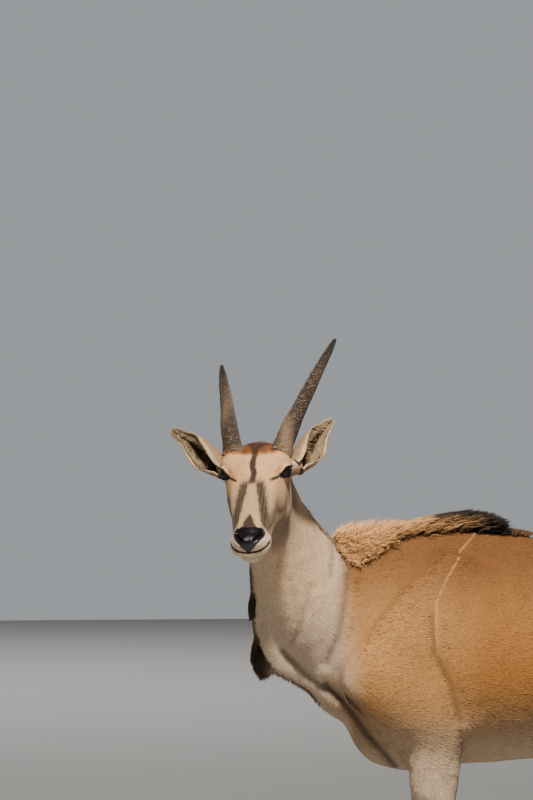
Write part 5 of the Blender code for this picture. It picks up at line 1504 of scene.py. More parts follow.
def make_ear(name):
    """The wall: the back from edge to edge, then the hollow side from edge to edge again."""
    s = np.linspace(-0.075, 1, EAR_RINGS)[:, None]
    v = np.linspace(-1, 1, EAR_SIDES)[None, :]
    middle, normal = ear_place(name, s, v), ear_normal(name, s, v)
    wall = (0.0020 * np.sqrt(np.clip(1.02 - np.abs(v) ** 5, 0, 1)) * (1 - 0.5 * np.clip(s, 0, 1)))[..., None]
    front, back = middle + normal * wall, middle - normal * wall
    rows = np.concatenate((back, front[:, ::-1]), axis=1)
    points, faces = closed_tube(rows)
    v_round = np.concatenate((v, v[:, ::-1]), axis=1)
    hollow = np.repeat((0.0, 1.0), EAR_SIDES)[None, :]
    colour = ear_tones(on_tube(np.clip(s, 0, 1), rows, 0, 1), on_tube(v_round, rows, 0, 0),
                       on_tube(hollow, rows, 0, 0))
    piece = new_piece("ear_shell_" + name, points, faces, SHORT_COAT, colour)
    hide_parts("ear_" + name)
    return piece


ears = [make_ear(name) for name in SIDES]
print("ears made:", len(ears))

# %% [markdown]
# ## Eyes and lids
# An eland's eye is large, dark and wet, with a long pupil. The ball is a sphere with a slight
# bulge for the cornea. A thin dark moist rim lies along both lids, and lashes stand over it.

# %% Eyes, lid rims and lashes
EYE_RINGS = 56
RIM_STEPS, RIM_SIDES = 120, 8
RIM_RADIUS = 0.00135
LASHES = 110                       # on each eye
IRIS = tone(16, 10, 7)
PUPIL = tone(3, 3, 4)


def eye_material():
    """Wet and glossy: painted colour, a low roughness and a clear layer."""
    material, nodes, links, shader = new_material("wet eye", 0.08)
    shader.inputs["Specular IOR Level"].default_value = 0.2
    shader.inputs["Coat Weight"].default_value = 0.05
    shader.inputs["Coat Roughness"].default_value = 0.04
    noise = stretched_noise(nodes, links, 500.0, 1.0)
    painted(nodes, links, shader, noise, 0.8, 1.2)
    return material


EYE_GLOSS = eye_material()
LID_SKIN = coat_material("moist lid", 900.0, 1.0, 0.2, roughness=0.34, sheen=0.0)


def on_eye(sign, along, over_line, radius):
    """Places on a sphere about the eye's centre, over a spot given along and over its slit."""
    centre, slit, over, look = eye_frame(sign)
    deep = np.sqrt(np.clip(EYE_RADIUS ** 2 - along ** 2 - over_line ** 2, 1e-8, None))
    out = along[:, None] * slit + over_line[:, None] * over + deep[:, None] * look
    return centre + unit(out) * np.reshape(radius, (-1, 1))


def make_eye(name, sign):
    """Rings from pole to pole about the line of sight; the radius grows by the cornea's bulge."""
    centre, slit, over, look = eye_frame(sign)
    polar = np.linspace(0.02, math.pi - 0.02, EYE_RINGS)[:, None]
    angle = np.linspace(0, 2 * math.pi, EYE_RINGS, endpoint=False)[None, :]
    radius = EYE_RADIUS + 0.0011 * np.exp(-(polar / 0.62) ** 2)
    flat = np.cos(angle)[..., None] * slit + np.sin(angle)[..., None] * over * sign
    flat = np.sin(polar)[..., None] * flat
    rows = centre + radius[..., None] * (np.cos(polar)[..., None] * look + flat)
    points, faces = closed_tube(rows)
    local = unit(points - centre)
    a, b, ahead = local @ slit, local @ over, local @ look
    spread = np.sqrt(a ** 2 + b ** 2)
    colour = np.tile(IRIS, (len(points), 1))
    colour = mix(colour, IRIS * 2.2, 0.5 * ramp(spread, 0.50, 0.30) * ramp(ahead, 0.0, 0.5))
    colour = mix(colour, tone(10, 7, 6), ramp(spread, 0.56, 0.64) + ramp(ahead, 0.3, 0.0))
    colour = mix(colour, PUPIL, ramp(np.sqrt((a / 1.75) ** 2 + b ** 2), 0.26, 0.21) * ramp(ahead, 0.0, 0.3))
    piece = new_piece("eyeball_" + name, points, faces, EYE_GLOSS, colour)
    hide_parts("eye_" + name)
    return piece


def make_lid_rim(name, sign):
    """A thin closed tube along the edge of both lids."""
    turn = np.linspace(0, 2 * math.pi, RIM_STEPS, endpoint=False)
    half_high = np.where(np.sin(turn) > 0, LID_ABOVE, -LID_BELOW)
    along = LID_HALF * 0.985 * np.cos(turn)
    over_line = half_high * np.sin(turn) ** 2
    path = on_eye(sign, along, over_line, EYE_RADIUS + 0.0013)
    centre = eye_frame(sign)[0]
    ahead = unit(np.roll(path, -1, axis=0) - np.roll(path, 1, axis=0))
    out = unit(path - centre)
    beside = np.cross(ahead, out)
    ring = np.linspace(0, 2 * math.pi, RIM_SIDES, endpoint=False)
    rows = path[:, None] + RIM_RADIUS * (np.cos(ring)[None, :, None] * out[:, None]
                                         + np.sin(ring)[None, :, None] * beside[:, None])
    here = np.arange(RIM_STEPS)[:, None] * RIM_SIDES
    following = (np.arange(RIM_STEPS)[:, None] + 1) % RIM_STEPS * RIM_SIDES
    c, d = np.arange(RIM_SIDES)[None, :], (np.arange(RIM_SIDES)[None, :] + 1) % RIM_SIDES
    quads = np.stack((here + c, here + d, following + d, following + c), -1).reshape(-1, 4)
    points = rows.reshape(-1, 3)
    piece = new_piece("lid_rim_" + name, points, [quads], LID_SKIN, np.tile(NEAR_BLACK, (len(points), 1)))
    return piece


eyeballs = [make_eye(name, sign) for name, sign in HEAD_SIDES.items()]
lid_rims = [make_lid_rim(name, sign) for name, sign in HEAD_SIDES.items()]
print("eyes made:", len(eyeballs), "with lid rims:", len(lid_rims))

# %% [markdown]
# ## Hooves
# Each foot stands on two hooves: hard wedges that are longest at the toe and slope up to the
# heel, with faint rings round them. Each is a tube of ovals from the sole to the coronet.

# %% Eight hooves
HOOF_RINGS, HOOF_SIDES = 26, 48
HOOF_DARK = tone(44, 37, 31)
HOOF_PALE = tone(96, 82, 68)
HOOF_HORN = coat_material("hoof horn", 260.0, 6.0, 0.35, low=0.7, high=1.3, roughness=0.5, sheen=0.0)


def make_hoof(name, x, y, inner):
    """Ovals narrowed towards the toe; length and width shrink from the sole to the coronet."""
    t = np.linspace(0, 1.0, HOOF_RINGS)[:, None]
    angle = np.linspace(0, 2 * math.pi, HOOF_SIDES, endpoint=False)[None, :]
    length = HOOF_LENGTH * (1.0 - 0.30 * t) * (1 - 0.035 * np.exp(-(t / 0.035) ** 2))
    width = HOOF_WIDTH * (1.0 - 0.10 * t) * (1 - 0.08 * np.exp(-(t / 0.035) ** 2))
    wave = 1 + 0.006 * np.sin(2 * math.pi * 8 * t + np.cos(angle)) * np.clip(t * 6, 0, 1)
    along = -np.cos(angle) * length / 2 * wave
    narrow = 1 - 0.42 * np.clip(np.cos(angle), 0, 1) ** 1.5
    across = np.sin(angle) * width / 2 * narrow * wave
    across = np.where(across * inner < 0, across * 0.82, across)
    px = x - 0.028 + along + 0.012 * t
    height = (coronet_height(x, px) + 0.0005) * t
    rows = np.stack((px, y + across + 0 * px, height), axis=-1)
    points, faces = closed_tube(rows)
    points[:, 2] = np.maximum(points[:, 2], 0.0002)
    level = on_tube(t, rows, 0, 1)
    colour = np.tile(HOOF_DARK, (len(points), 1))
    pale = 0.7 * ramp(level, 0.80, 1.0) + 0.25 * ramp(gentle_noise(points, 0.02, 91), 0.1, 0.6)
    colour = mix(colour, HOOF_PALE, pale)
    piece = new_piece("hoof_" + name, points, faces, HOOF_HORN, colour)
    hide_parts(name)
    return piece


hooves = []
for kind, xs, offset, half in (("fore", FORE_X, 0.0, FORE_Y), ("hind", HIND_X, 0.006, HIND_Y)):
    for name, sign in SIDES.items():
        for toe, inner in (("outer", sign), ("inner", -sign)):
            y = sign * half + inner * (HOOF_WIDTH + HOOF_CLEFT) / 2
            hooves.append(make_hoof(f"{kind}hoof_{name}_{toe}", xs[name] + offset, y, inner))
print("hooves:", len(hooves))

# %% [markdown]
# ## How the coat lies, and where each tuft belongs on the skin
# Hair leans away from the nose: back over the face, down the neck, back along the barrel and
# down the legs. Each tuft takes its direction from that field. For baked colours each tuft also
# gets a small patch of a texture map, at its root's place on the skin cut open as cylinders:
# head, neck, trunk, tail and legs each have a rectangle of their own.

# %% Lie of the hair and the map of the skin
def lie_of(points, normals):
    """Direction of the hair at each place, along the surface."""
    x, y, z = points.T
    head = in_head(points)
    lie = np.tile((1.0, 0.0, -0.22), (len(points), 1))
    for direction, share in (((0.42, 0.15, -0.90), ramp(x, -0.06, -0.22)),
                             ((0.10, 0.0, -1.0), ramp(z, 0.84, 0.66)),
                             ((0.05, 0.0, -1.0), ramp(x, 1.30, 1.37))):
        lie += share[:, None] * (np.array(direction) - lie)
    on = ramp(np.linalg.norm(head - (0.07, 0, -0.03), axis=1), 0.26, 0.20)
    back = head_turned((-1.0, 0.0, -0.10)) + 0.5 * np.sign(head[:, 1])[:, None] * HEAD_AXES[1] * ramp(
        np.abs(head[:, 1]), 0.0, 0.05)[:, None] * ramp(head[:, 0], 0.16, 0.04)[:, None]
    lie += on[:, None] * (back - lie)
    return unit(lie - normals * (lie * normals).sum(axis=1)[:, None] + 1e-6)


NECK_STEPS = 50
NECK_ROWS = smooth_rows(np.column_stack((NECK_LINE, NECK_SIDE)), NECK_STEPS)


def skin_map(points):
    """Place on the opened skin, from 0 to 1: along each part and the angle round it."""
    x, y, z = points.T
    head = in_head(points)
    along, angle = (x + 0.20) / 1.60, np.arctan2(y, z - 1.03)
    corner, size = np.tile((0.01, 0.01), (len(points), 1)), np.tile((0.58, 0.46), (len(points), 1))

    def take(chosen, new_along, new_angle, place, extent):
        along[chosen], angle[chosen] = new_along[chosen], new_angle[chosen]
        corner[chosen], size[chosen] = place, extent

    nearest = np.argmin(((points[:, None, :] - NECK_ROWS[None, ::2, :3]) ** 2).sum(-1), axis=1) * 2
    rows = NECK_ROWS[nearest]
    tangent = unit(np.gradient(NECK_ROWS[:, :3], axis=0))[nearest]
    offset = points - rows[:, :3]
    sideways = (offset * rows[:, 3:]).sum(-1)
    upwards = (offset * np.cross(tangent, rows[:, 3:])).sum(-1)
    round_neck = np.arctan2(sideways, upwards)
    take(x < -0.14, nearest / NECK_STEPS, round_neck, (0.62, 0.01), (0.36, 0.46))
    legs = [(xs[name], sign) for xs in (FORE_X, HIND_X) for name, sign in SIDES.items()]
    for n, (middle, sign) in enumerate(legs):
        leg = (z < 0.76) & (np.abs(x - middle) < 0.30) & (y * sign > 0)
        round_leg = np.arctan2(y - sign * 0.13, x - middle)
        take(leg, z / 0.78, round_leg, (0.48 + 0.105 * n, 0.51), (0.095, 0.47))
    take(x > 1.335, z / 1.25, np.arctan2(y, x - 1.42), (0.91, 0.51), (0.07, 0.47))
    on_it = np.linalg.norm(head - (0.07, 0, -0.03), axis=1) < 0.21
    round_head = np.arctan2(head[:, 1], head[:, 2] + 0.03)
    take(on_it, (head[:, 0] + 0.16) / 0.46, round_head, (0.01, 0.51), (0.45, 0.47))
    flat = np.column_stack((np.clip(along, 0, 1), (angle + math.pi) / (2 * math.pi)))
    return corner + size * flat


PATCH = 0.003                      # size of a tuft's patch on the map


def scattered(count, weight, seed):
    """Roots spread over the skin: equal steps of weighted area along its triangles."""
    draw = np.random.default_rng(seed)
    area = SKIN_AREAS * weight
    total = np.cumsum(area)
    steps = (np.arange(count) + draw.uniform(0, 1, count)) / count * total[-1]
    chosen = SKIN_TRIANGLES[np.minimum(np.searchsorted(total, steps), len(total) - 1)]
    a, b = draw.uniform(0, 1, (2, count, 1))
    a, b = np.where(a + b > 1, 1 - a, a), np.where(a + b > 1, 1 - b, b)
    share = np.concatenate((1 - a - b, a, b), axis=1)[:, :, None]
    return (skin_places[chosen] * share).sum(axis=1), unit((skin_normals[chosen] * share).sum(axis=1))


skin_mesh.calc_loop_triangles()
corner_numbers = np.empty(len(skin_mesh.loop_triangles) * 3, np.int32)
skin_mesh.loop_triangles.foreach_get("vertices", corner_numbers)
SKIN_TRIANGLES = corner_numbers.reshape(-1, 3)
CORNERS = skin_places[SKIN_TRIANGLES]
SKIN_MIDDLES = CORNERS.mean(axis=1)
SKIN_CROSS = np.cross(CORNERS[:, 1] - CORNERS[:, 0], CORNERS[:, 2] - CORNERS[:, 0])
SKIN_AREAS = np.linalg.norm(SKIN_CROSS, axis=1) / 2
MIDDLE_NORMALS = unit(SKIN_CROSS)
MIDDLE_HEAD = in_head(SKIN_MIDDLES)
print("skin area:", round(float(SKIN_AREAS.sum()), 2), "square metres")


# %% Where short hair grows
def hair_grows(points, normals):
    """1 where hair may grow: not on the nose, in the mouth, nostrils or eyes, nor in a hoof."""
    head = in_head(points)
    folded = head * (1, 0, 1) + np.abs(head) * (0, 1, 0)
    grows = 1.0 - nose_pad(points, normals)
    grows *= (distance_to_route(folded, MOUTH) > 0.0032) & (distance_to_route(folded, NOSTRIL) > 0.0120)
    grows *= np.linalg.norm(folded - EYE_PLACE, axis=1) > EYE_RADIUS + 0.0048
    for name, sign in HEAD_SIDES.items():
        root = on_head(mirrored(HORN_ROOT, sign))
        aim = head_turned(mirrored(HORN_AIM[name], sign))
        out = points - root
        deep = out @ aim
        grows *= (np.linalg.norm(out - deep[:, None] * aim, axis=1) > 0.0235) | (deep < -0.03)
    for xs, offset, _ in FEET:
        for name, sign in SIDES.items():
            foot = (points[:, 2] < 0.12) & (np.abs(points[:, 0] - xs[name] - offset) < 0.12)
            foot &= points[:, 1] * sign > 0
            grows[foot & (points[:, 2] < coronet_height(xs[name] + offset, points[:, 0]) + 0.003)] = 0
    return grows


GROWS = hair_grows(SKIN_MIDDLES, MIDDLE_NORMALS)
FACE_NEAR = ramp(np.linalg.norm(MIDDLE_HEAD - HEAD_MIDDLE, axis=1), 0.24, 0.19)
print("share of the skin that grows hair:", round(float((SKIN_AREAS * GROWS).sum() / SKIN_AREAS.sum()), 3))

# %% [markdown]
# ## Short tufts
# Short hair seen from a few metres is a texture, but along the outline and in raking light its
# tufts break the form. Each tuft here is a thin closed wedge of ten triangles: a ring of three
# corners in the skin, a ring half way along and a tip, lying back along the coat.

# %% Tufts as one mesh from arrays
TUFT_QUADS = np.array(((0, 2, 5, 3), (2, 1, 4, 5), (1, 0, 3, 4)))
TUFT_FACES = np.array(((0, 1, 2), (3, 5, 6), (5, 4, 6), (4, 3, 6)))


def repeated(faces, count, corners):
    """The same faces for each of many equal small shapes."""
    return (faces[None] + corners * np.arange(count)[:, None, None]).reshape(-1, faces.shape[1])


def make_tufts(name, count, weight, seed, size_of, material):
    """Middle = root + 0.5 length along the lie + lift; tip = root + length + 1.15 lift."""
    draw = np.random.default_rng(seed)
    roots, normals = scattered(count, weight, seed)
    lie = lie_of(roots, normals)
    turn = draw.normal(0, 0.15, count) + 0.30 * gentle_noise(roots, 0.06, 61)
    side = np.cross(normals, lie)
    ahead = lie * np.cos(turn)[:, None] + side * np.sin(turn)[:, None]
    side = np.cross(normals, ahead)
    long, wide, lift = (value[:, None] for value in size_of(roots, draw))
    left, high = side * wide / 2, normals * wide * 0.14
    base = roots - normals * 0.0008
    middle = roots + ahead * long * 0.5 + normals * lift
    tip = roots + ahead * long + normals * lift * 1.15
    points = np.stack((base + left, base - left, base + high, middle + left * 0.85, middle - left * 0.85,
                       middle + high, tip), axis=1)
    # Each tuft gets a random tone and is painted lighter towards its ridge and tip: painted light on its
    # raised parts.
    shade = draw.uniform(0.92, 1.12, count)[:, None] * np.array((1.0, 1.0, 1.0, 1.03, 1.03, 1.05, 1.08))
    colour = np.clip(coat_colour(roots, normals)[:, None] * shade[..., None], 0, 1)
    spread = np.array(((-1, -1), (1, -1), (0, -1), (-1, 0), (1, 0), (0, 0), (0, 1))) * PATCH / 2
    uv = skin_map(roots)[:, None] + spread
    faces = [repeated(TUFT_QUADS, count, 7), repeated(TUFT_FACES, count, 7)]
    piece = new_piece(name, points.reshape(-1, 3), faces, material, colour.reshape(-1, 3), uv.reshape(-1, 2))
    piece.data.shade_flat()
    return piece


def body_size(roots, draw):
    """Length, width and lift of a body tuft: longest on the trunk, shortest on the feet."""
    low = ramp(roots[:, 2], 0.80, 0.30)
    neck = ramp(roots[:, 0], -0.05, -0.25)
    long = (0.0150 - 0.0055 * low - 0.0025 * neck) * draw.uniform(0.70, 1.30, len(roots))
    return long, long * 0.20, 0.0002 + 0.0003 * draw.uniform(0, 1, len(roots))


def face_size(roots, draw):
    """Length, width and lift of a face tuft: shortest at the muzzle and round the eyes."""
    f, side, u = in_head(roots).T
    near = np.maximum(ramp(f, 0.10, 0.22), 0.7 * ramp(np.linalg.norm(
        np.column_stack((f, np.abs(side), u)) - EYE_PLACE, axis=1), 0.040, 0.026))
    long = (0.0088 - 0.0046 * near) * draw.uniform(0.75, 1.25, len(roots))
    return long, long * 0.21, 0.0005 + 0.0003 * draw.uniform(0, 1, len(roots))


HAIR = coat_material("hair", 900.0, 5.0, 0.3, low=0.85, high=1.15, roughness=0.74)
BODY_TUFTS = 19800
CLEAR_START, CLEAR_END = -0.011, 0.004    # no tuft starts in this strip, or it would hide the stripe
behind = from_stripe(SKIN_MIDDLES, STRIPES[0][0], STRIPES[0][3])
kept_clear = (behind > CLEAR_START) & (behind < CLEAR_END) & (SKIN_MIDDLES[:, 2] > STRIPE_LOW)
for n in range(3):
    make_tufts(f"coat_body_{n}", BODY_TUFTS, GROWS * (1 - FACE_NEAR) * ~kept_clear, 100 + n, body_size, HAIR)
make_tufts("coat_face", BODY_TUFTS, GROWS * FACE_NEAR, 110, face_size, HAIR)

# %% [markdown]
# ## Long hair
# A mane of blond and then near-black hair stands on the withers, a thin fringe runs down the
# nape, a rust-brown pad grows between the horns, tufts hang from the dewlap and long hair ends
# the tail. Fine hairs line the ears, and lashes stand on the upper lids. Each lock is a thin
# closed three-sided tube that sets off one way and bends another.

# %% Locks as one mesh from arrays
LOCK_RINGS = 4


def make_locks(name, roots, grow, lie, long, wide, colour, seed, bend=1.2, wave=0.0, turns=1.5, flat=0.5,
               root_shade=0.80, tip_tone=1.10):
    """Ring k of a lock lies after k equal steps; step k points along grow x (1 - b) + lie x b.

    b grows along the lock to the given bend, and a wave winds round the lock.
    """
    draw = np.random.default_rng(seed)
    count = len(roots)
    t = np.arange(LOCK_RINGS + 1) / LOCK_RINGS
    share = np.clip(bend * (t[:-1] + t[1:]) / 2, 0, 1)[None, :, None]
    steps = unit(grow[:, None] * (1 - share) + lie[:, None] * share)
    path = np.concatenate((np.zeros((count, 1, 3)), np.cumsum(steps, axis=1)), axis=1) / LOCK_RINGS
    path = roots[:, None] + path * np.reshape(long, (-1, 1, 1))
    ahead = unit(np.gradient(path, axis=1))
    across = unit(np.cross(ahead, unit(draw.normal(size=(count, 3)))[:, None]))
    over = np.cross(across, ahead)
    phase = draw.uniform(0, 2 * math.pi, count)[:, None] + 2 * math.pi * turns * t[None, :]
    swing = np.reshape(wave * np.ones(count), (-1, 1, 1)) * np.sqrt(t)[None, :, None]
    path = path + swing * (across * np.cos(phase)[..., None] + over * np.sin(phase)[..., None])
    taper = np.array((0.75, 1.0, 0.85, 0.55))[None, :, None, None] * np.reshape(wide, (-1, 1, 1, 1)) / 2
    corner = 2 * math.pi * np.arange(3) / 3
    ring = (np.cos(corner)[:, None] * across[:, :-1, None]
            + flat * np.sin(corner)[:, None] * over[:, :-1, None])
    tubes = (path[:, :-1, None] + taper * ring).reshape(count, -1, 3)
    points = np.concatenate((tubes, path[:, -1:]), axis=1)
    size = 3 * LOCK_RINGS + 1
    here, after = np.arange(3), (np.arange(3) + 1) % 3
    quads = np.vstack([np.stack((here, after, after + 3, here + 3), -1) + 3 * k
                       for k in range(LOCK_RINGS - 1)])
    last = 3 * (LOCK_RINGS - 1)
    ends = np.vstack(((2, 1, 0), np.stack((here + last, after + last, 0 * here + size - 1), -1)))
    along = np.append(np.repeat(t[:-1], 3), 1.0)
    # A random tone for each lock, running from a darker root to a lighter tip; the darker root is painted
    # shade deep in the hair.
    shade = draw.uniform(0.82, 1.18, count)[:, None] * (root_shade + (tip_tone - root_shade) * along)[None]
    paint_all = np.clip(colour[:, None] * shade[..., None], 0, 1)
    spread = np.column_stack((np.append(np.tile((-0.5, 0.0, 0.5), LOCK_RINGS), 0.0), along - 0.5)) * PATCH
    uv = skin_map(roots)[:, None] + spread
    faces = [repeated(quads, count, size), repeated(ends, count, size)]
    piece = new_piece(name, points.reshape(-1, 3), faces, HAIR, paint_all.reshape(-1, 3),
                      uv.reshape(-1, 2))
    return piece


print("triangles in each lock:", 6 * (LOCK_RINGS - 1) + 4)


# %% The mane on the withers
CREST_X = (-0.18, -0.13, -0.07, 0.00, 0.05, 0.10, 0.16, 0.21, 0.26, 0.29, 0.35)
CREST_TOP = (1.362, 1.393, 1.398, 1.392, 1.402, 1.414, 1.423, 1.416, 1.398, 1.376, 1.354)
BLOND = tone(204, 156, 100)
MANE_ROOT = tone(104, 70, 40)
MANE_DARK = tone(26, 17, 12)


def mane_colour(roots, draw):
    """Blond in front with brown roots, near-black behind, with a ragged change between them."""
    ragged = roots[:, 0] + 0.030 * gentle_noise(roots, 0.05, 95) + draw.normal(0, 0.012, len(roots))
    colour = np.tile(BLOND, (len(roots), 1))
    colour = mix(colour, MANE_ROOT, 0.8 * ramp(draw.uniform(0, 1, len(roots)), 0.55, 0.9))
    lit = 0.85 * ramp(np.abs(roots[:, 1]), 0.014, 0.032) * ramp(ragged, 0.22, 0.08)
    colour = mix(colour, MANE_DARK, ramp(ragged, 0.020, 0.075) * (1 - lit))
    return mix(colour, MANE_ROOT, 0.8 * ramp(ragged, 0.27, 0.32))


def make_mane(name, count, seed):
    """Roots over the withers; the length at each place is what reaches the mane's outline."""
    draw = np.random.default_rng(seed)
    x, y, z = SKIN_MIDDLES.T
    half = np.interp(x, (-0.17, -0.13, -0.10, -0.06, -0.02, 0.10, 0.25, 0.34),
                     (0.092, 0.090, 0.070, 0.046, 0.036, 0.033, 0.032, 0.018))
    edge = np.abs(y) + 0.012 * gentle_noise(SKIN_MIDDLES, 0.03, 96)
    weight = ramp(edge, half, 0.35 * half) * ramp(x, -0.185, -0.165) * ramp(x, 0.345, 0.32)
    weight *= ramp(MIDDLE_NORMALS[:, 2], 0.10, 0.35) * (z > 1.20)
    roots, normals = scattered(count, weight, seed)
    x, y = roots[:, 0], roots[:, 1]
    fall = np.clip(np.abs(y) / 0.062, 0, 1.3)
    out = np.sign(y) * fall + draw.normal(0, 0.16, count)
    lean = np.interp(x, (-0.16, 0.02, 0.20, 0.33), (0.05, 0.40, 0.75, 1.10)) + draw.normal(0, 0.12, count)
    grow = np.column_stack((0.5 * lean, 0.6 * out, 1.0 - 0.3 * fall))
    lie = np.column_stack((0.4 + lean + draw.normal(0, 0.15, count), 0.7 * out,
                           0.60 - 0.85 * fall - 0.25 * lean))
    tall = np.interp(x + 0.025, CREST_X, CREST_TOP) - roots[:, 2]
    rise = 0.42 * unit(grow)[:, 2] + 0.58 * unit(lie)[:, 2]
    upright = np.clip(tall / np.maximum(rise, 0.45), 0.03, 0.10)
    patch = ramp(x, -0.05, -0.09) * ramp(np.abs(y), 0.035, 0.060)
    long = upright * (1 - 0.62 * np.clip(fall, 0, 1)) * (1 - 0.35 * patch) * draw.uniform(0.62, 1.10, count)
    curl = np.interp(x, (-0.16, 0.0, 0.1), (0.0060, 0.0045, 0.0025))
    return make_locks(name, roots - normals * 0.002, grow, lie, long, draw.uniform(0.0022, 0.0040, count),
                      mane_colour(roots, draw), seed, wave=curl, turns=1.3, root_shade=0.45,
                      tip_tone=1.20)


manes = [make_mane("mane_a", 7000, 201), make_mane("mane_b", 7000, 202)]


# %% Fringe of the nape, dewlap, forehead, tail and ears
def along_skin(line, offset, low, high, reach):
    """Weight of skin triangles that lie near a line moved by an offset at each of its places."""
    rows = line + offset
    away = distance_to_route(SKIN_MIDDLES, rows[low:high])
    return ramp(away, reach, 0.4 * reach)


def make_nape():
    """A short pale fringe that stands along the nape, with a dark line in its middle."""
    draw = np.random.default_rng(211)
    rows = NECK_ROWS[:, :3]
    tangent = unit(np.gradient(rows, axis=0))
    up = unit(np.cross(tangent, NECK_ROWS[:, 3:]))
    tall = smooth_rows(np.reshape(NECK_TALL, (-1, 1)), NECK_STEPS)
    weight = along_skin(rows, up * tall, 16, 49, 0.024) * GROWS
    count = 3000
    roots, normals = scattered(count, weight, 211)
    nearest = np.argmin(((roots[:, None] - (rows + up * tall)[None]) ** 2).sum(-1), axis=1)
    side = unit(NECK_ROWS[:, 3:])[nearest]
    off = ((roots - rows[nearest]) * side).sum(axis=1)
    grow = normals * 0.9 - 0.3 * tangent[nearest] + side * (draw.normal(0, 0.15, count) + 8 * off)[:, None]
    lie = normals * 0.35 - tangent[nearest] + side * (draw.normal(0, 0.2, count) + 8 * off)[:, None]
    colour = np.tile(tone(156, 128, 96), (count, 1))
    colour = mix(colour, DARK_BROWN, 0.9 * ramp(np.abs(off), 0.0075, 0.0030))
    long = draw.uniform(0.016, 0.030, count) * (1 - 0.3 * ramp(np.abs(off), 0.006, 0.014))
    wide = draw.uniform(0.0014, 0.0026, count)
    return make_locks("nape_fringe", roots - normals * 0.001, grow, lie, long, wide, colour, 211,
                      wave=0.0012)


def make_dewlap():
    """Dark tufts at two heights of the dewlap's edge and a thin brown fringe between them."""
    draw = np.random.default_rng(221)
    rows = smooth_rows(np.column_stack((DEWLAP_LINE, DEWLAP_DEEP)), 80)
    line, deep = rows[:, :3], rows[:, 3:]
    tangent = unit(np.gradient(line, axis=0))
    out = unit(np.cross(tangent, (0.0, -1.0, 0.0)))
    height = SKIN_MIDDLES[:, 2]
    tufted = ramp(np.abs(height - 1.058), 0.050, 0.028) + 0.8 * ramp(np.abs(height - 1.185), 0.034, 0.018)
    weight = along_skin(line, out * deep, 4, 72, 0.022) * (0.10 + tufted) * GROWS
    count = 4200
    roots, normals = scattered(count, weight, 221)
    z = roots[:, 2]
    lower, upper = ramp(np.abs(z - 1.058), 0.052, 0.024), ramp(np.abs(z - 1.185), 0.036, 0.014)
    spread = draw.normal(0, 0.12, count)
    nearest = np.argmin(((roots[:, None] - line[None]) ** 2).sum(-1), axis=1)
    grow = 0.30 * out[nearest] + normals * 0.15 + np.column_stack((-0.1 + 0 * z, spread, -0.7 + 0 * z))
    lie = 0.08 * out[nearest] + np.column_stack((-0.05 + 0 * z, 0.5 * spread, -1.0 + 0 * z))
    long = (0.012 + 0.040 * lower + 0.020 * upper) * draw.uniform(0.65, 1.1, count)
    colour = mix(np.tile(tone(120, 96, 72), (count, 1)), tone(46, 34, 26), 0.95 * np.maximum(lower, upper))
    return make_locks("dewlap_tufts", roots - normals * 0.0015, grow, lie, long,
                      draw.uniform(0.0014, 0.0028, count), colour, 221, wave=0.0018)


def make_forehead():
    """A rust-brown pad of hair from between the horns to just in front of them."""
    draw = np.random.default_rng(231)
    f, side, u = MIDDLE_HEAD.T
    across = np.abs(side)
    weight = ramp(across, 0.092, 0.080) * ramp(rust_edge(f, across), -0.002, -0.018)
    weight *= ramp(f, -0.115, -0.095) * (u > -0.01)
    weight *= FACE_NEAR * GROWS
    count = 3600
    roots, normals = scattered(count, weight, 231)
    head = in_head(roots)
    lie = lie_of(roots, normals)
    aside = np.sign(head[:, 1])[:, None] * HEAD_AXES[1] * ramp(np.abs(head[:, 1]), 0.004, 0.02)[:, None]
    grow = normals * 0.45 + lie * 0.8 + 0.18 * draw.normal(size=(count, 3))
    back = lie + normals * 0.05 + 0.25 * aside + 0.12 * draw.normal(size=(count, 3))
    long = draw.uniform(0.010, 0.019, count) * (1 - 0.5 * ramp(head[:, 0], -0.03, -0.005))
    wide = draw.uniform(0.0012, 0.0022, count)
    return make_locks("forehead_pad", roots - normals * 0.001, grow, back, long, wide,
                      coat_colour(roots, normals), 231, wave=0.0010)


def make_tail_tuft():
    """Long dark locks round the end of the tail."""
    draw = np.random.default_rng(241)
    count = 3200
    place = draw.uniform(0, 1, count) ** 1.3
    height = 0.745 - 0.150 * place
    turn = draw.uniform(0, 2 * math.pi, count)
    out = np.column_stack((np.cos(turn), np.sin(turn), 0 * turn))
    middle = np.column_stack((1.421 + 0 * turn, 0 * turn, height))
    down = np.array((0.0, 0.0, -1.0))
    grow = (0.55 - 0.2 * place)[:, None] * out + down + 0.1 * draw.normal(size=(count, 3))
    lie = -0.05 * out + down + (0.05, 0, 0) + 0.07 * draw.normal(size=(count, 3))
    long = (0.130 + 0.035 * place) * draw.uniform(0.72, 1.02, count)
    colour = mix(np.tile(MANE_DARK, (count, 1)), MANE_ROOT, 0.5 * ramp(height, 0.70, 0.745))
    wide = draw.uniform(0.0020, 0.0036, count)
    piece = make_locks("tail_locks", middle + out * 0.007, grow, lie, long, wide, colour, 241,
                       wave=0.0035)
    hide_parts("tail_tuft")
    return piece


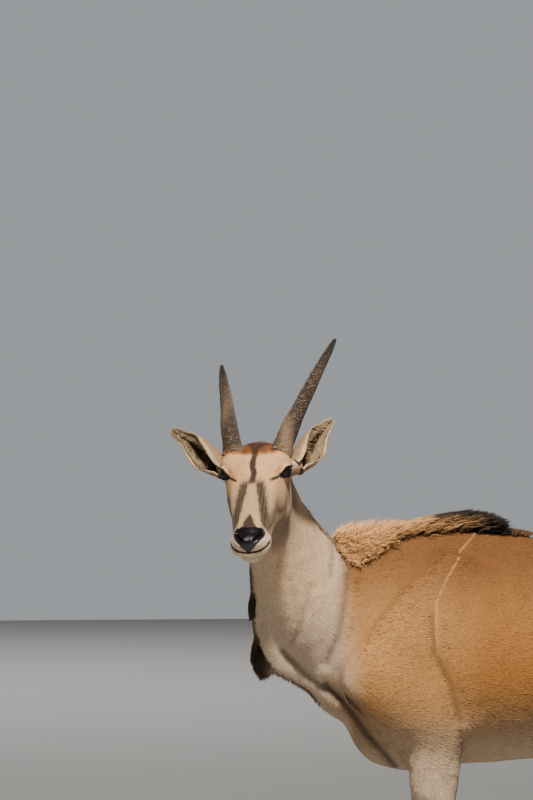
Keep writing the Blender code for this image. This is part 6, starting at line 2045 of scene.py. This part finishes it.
def make_ear_hair(name):
    """Pale hairs from both edges across the hollow, and a short fringe round the rim."""
    draw = np.random.default_rng(251 if name == "left" else 252)
    aim, across, facing = ear_frame(name)[1:]
    count = 1500
    edge = np.where(draw.uniform(0, 1, count) < 0.5, -1.0, 1.0)
    rim = draw.uniform(0, 1, count) < 0.40
    s = draw.uniform(0.10, 0.97, count)
    v = edge * np.where(rim, draw.uniform(0.94, 1.0, count), draw.uniform(0.50, 0.92, count))
    roots = ear_place(name, s, v)
    normal = ear_normal(name, s, v)
    inwards = -edge[:, None] * across
    lie = np.where(rim[:, None], aim * 1.0 - 0.30 * inwards, aim * 0.75 + inwards * 0.8 + facing * 0.15)
    grow = np.where(rim[:, None], aim - 0.7 * inwards, normal * 0.7 + aim * 0.5 + inwards * 0.3)
    lie = lie + 0.15 * draw.normal(size=(count, 3))
    long = np.where(rim, 0.008, 0.026 * (1 - 0.6 * ramp(s, 0.55, 0.95))) * draw.uniform(0.7, 1.2, count)
    colour = mix(np.tile(tone(172, 148, 118), (count, 1)), EAR_OUT, draw.uniform(0, 0.7, count))
    wide = draw.uniform(0.0007, 0.0013, count)
    return make_locks("ear_hair_" + name, roots, grow, lie, long, wide, colour, 253, wave=0.0008)


def make_lashes():
    """Dark lashes over the upper lid of each eye."""
    draw = np.random.default_rng(261)
    roots, grow, lie = [], [], []
    for sign in HEAD_SIDES.values():
        centre, slit, over, look = eye_frame(sign)
        turn = np.radians(draw.uniform(16, 164, LASHES))
        along, over_line = LID_HALF * 0.985 * np.cos(turn), LID_ABOVE * np.sin(turn) ** 2
        place = on_eye(sign, along, over_line, EYE_RADIUS + 0.0022)
        roots.append(place)
        fan = (along / LID_HALF)[:, None] * slit * 0.5
        grow.append(look * 0.9 + over * 0.35 + fan + 0.08 * draw.normal(size=(LASHES, 3)))
        lie.append(look * 0.45 + over * 0.9 + fan + 0.08 * draw.normal(size=(LASHES, 3)))
    roots = np.vstack(roots)
    long = draw.uniform(0.006, 0.0105, len(roots))
    return make_locks("lashes", roots, np.vstack(grow), np.vstack(lie), long, np.full(len(roots), 0.0006),
                      np.tile(NEAR_BLACK, (len(roots), 1)), 261, tip_tone=1.0)


fringes = [make_nape(), make_dewlap(), make_forehead(), make_tail_tuft(), make_ear_hair("left"),
           make_ear_hair("right"), make_lashes()]
print("locks and fringes:", len(fringes) + len(manes), "pieces")

# %% [markdown]
# ## Dress the frame and finish
# The skin takes the place of every node of flesh, and all other pieces took their own nodes
# above.

# %% Ride, replace and finish
FLESH = ["torso", "neck", "head", "tail"]
FLESH += [f"{place}leg_{name}_{part}" for place in ("fore", "hind") for name in SIDES
          for part in ("upper", "lower")]
FLESH += [f"{place}foot_{name}" for place in ("fore", "hind") for name in SIDES]
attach(skin, "root")
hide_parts(*FLESH)
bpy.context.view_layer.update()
print("made in", round(time.time() - STARTED, 1), "s")
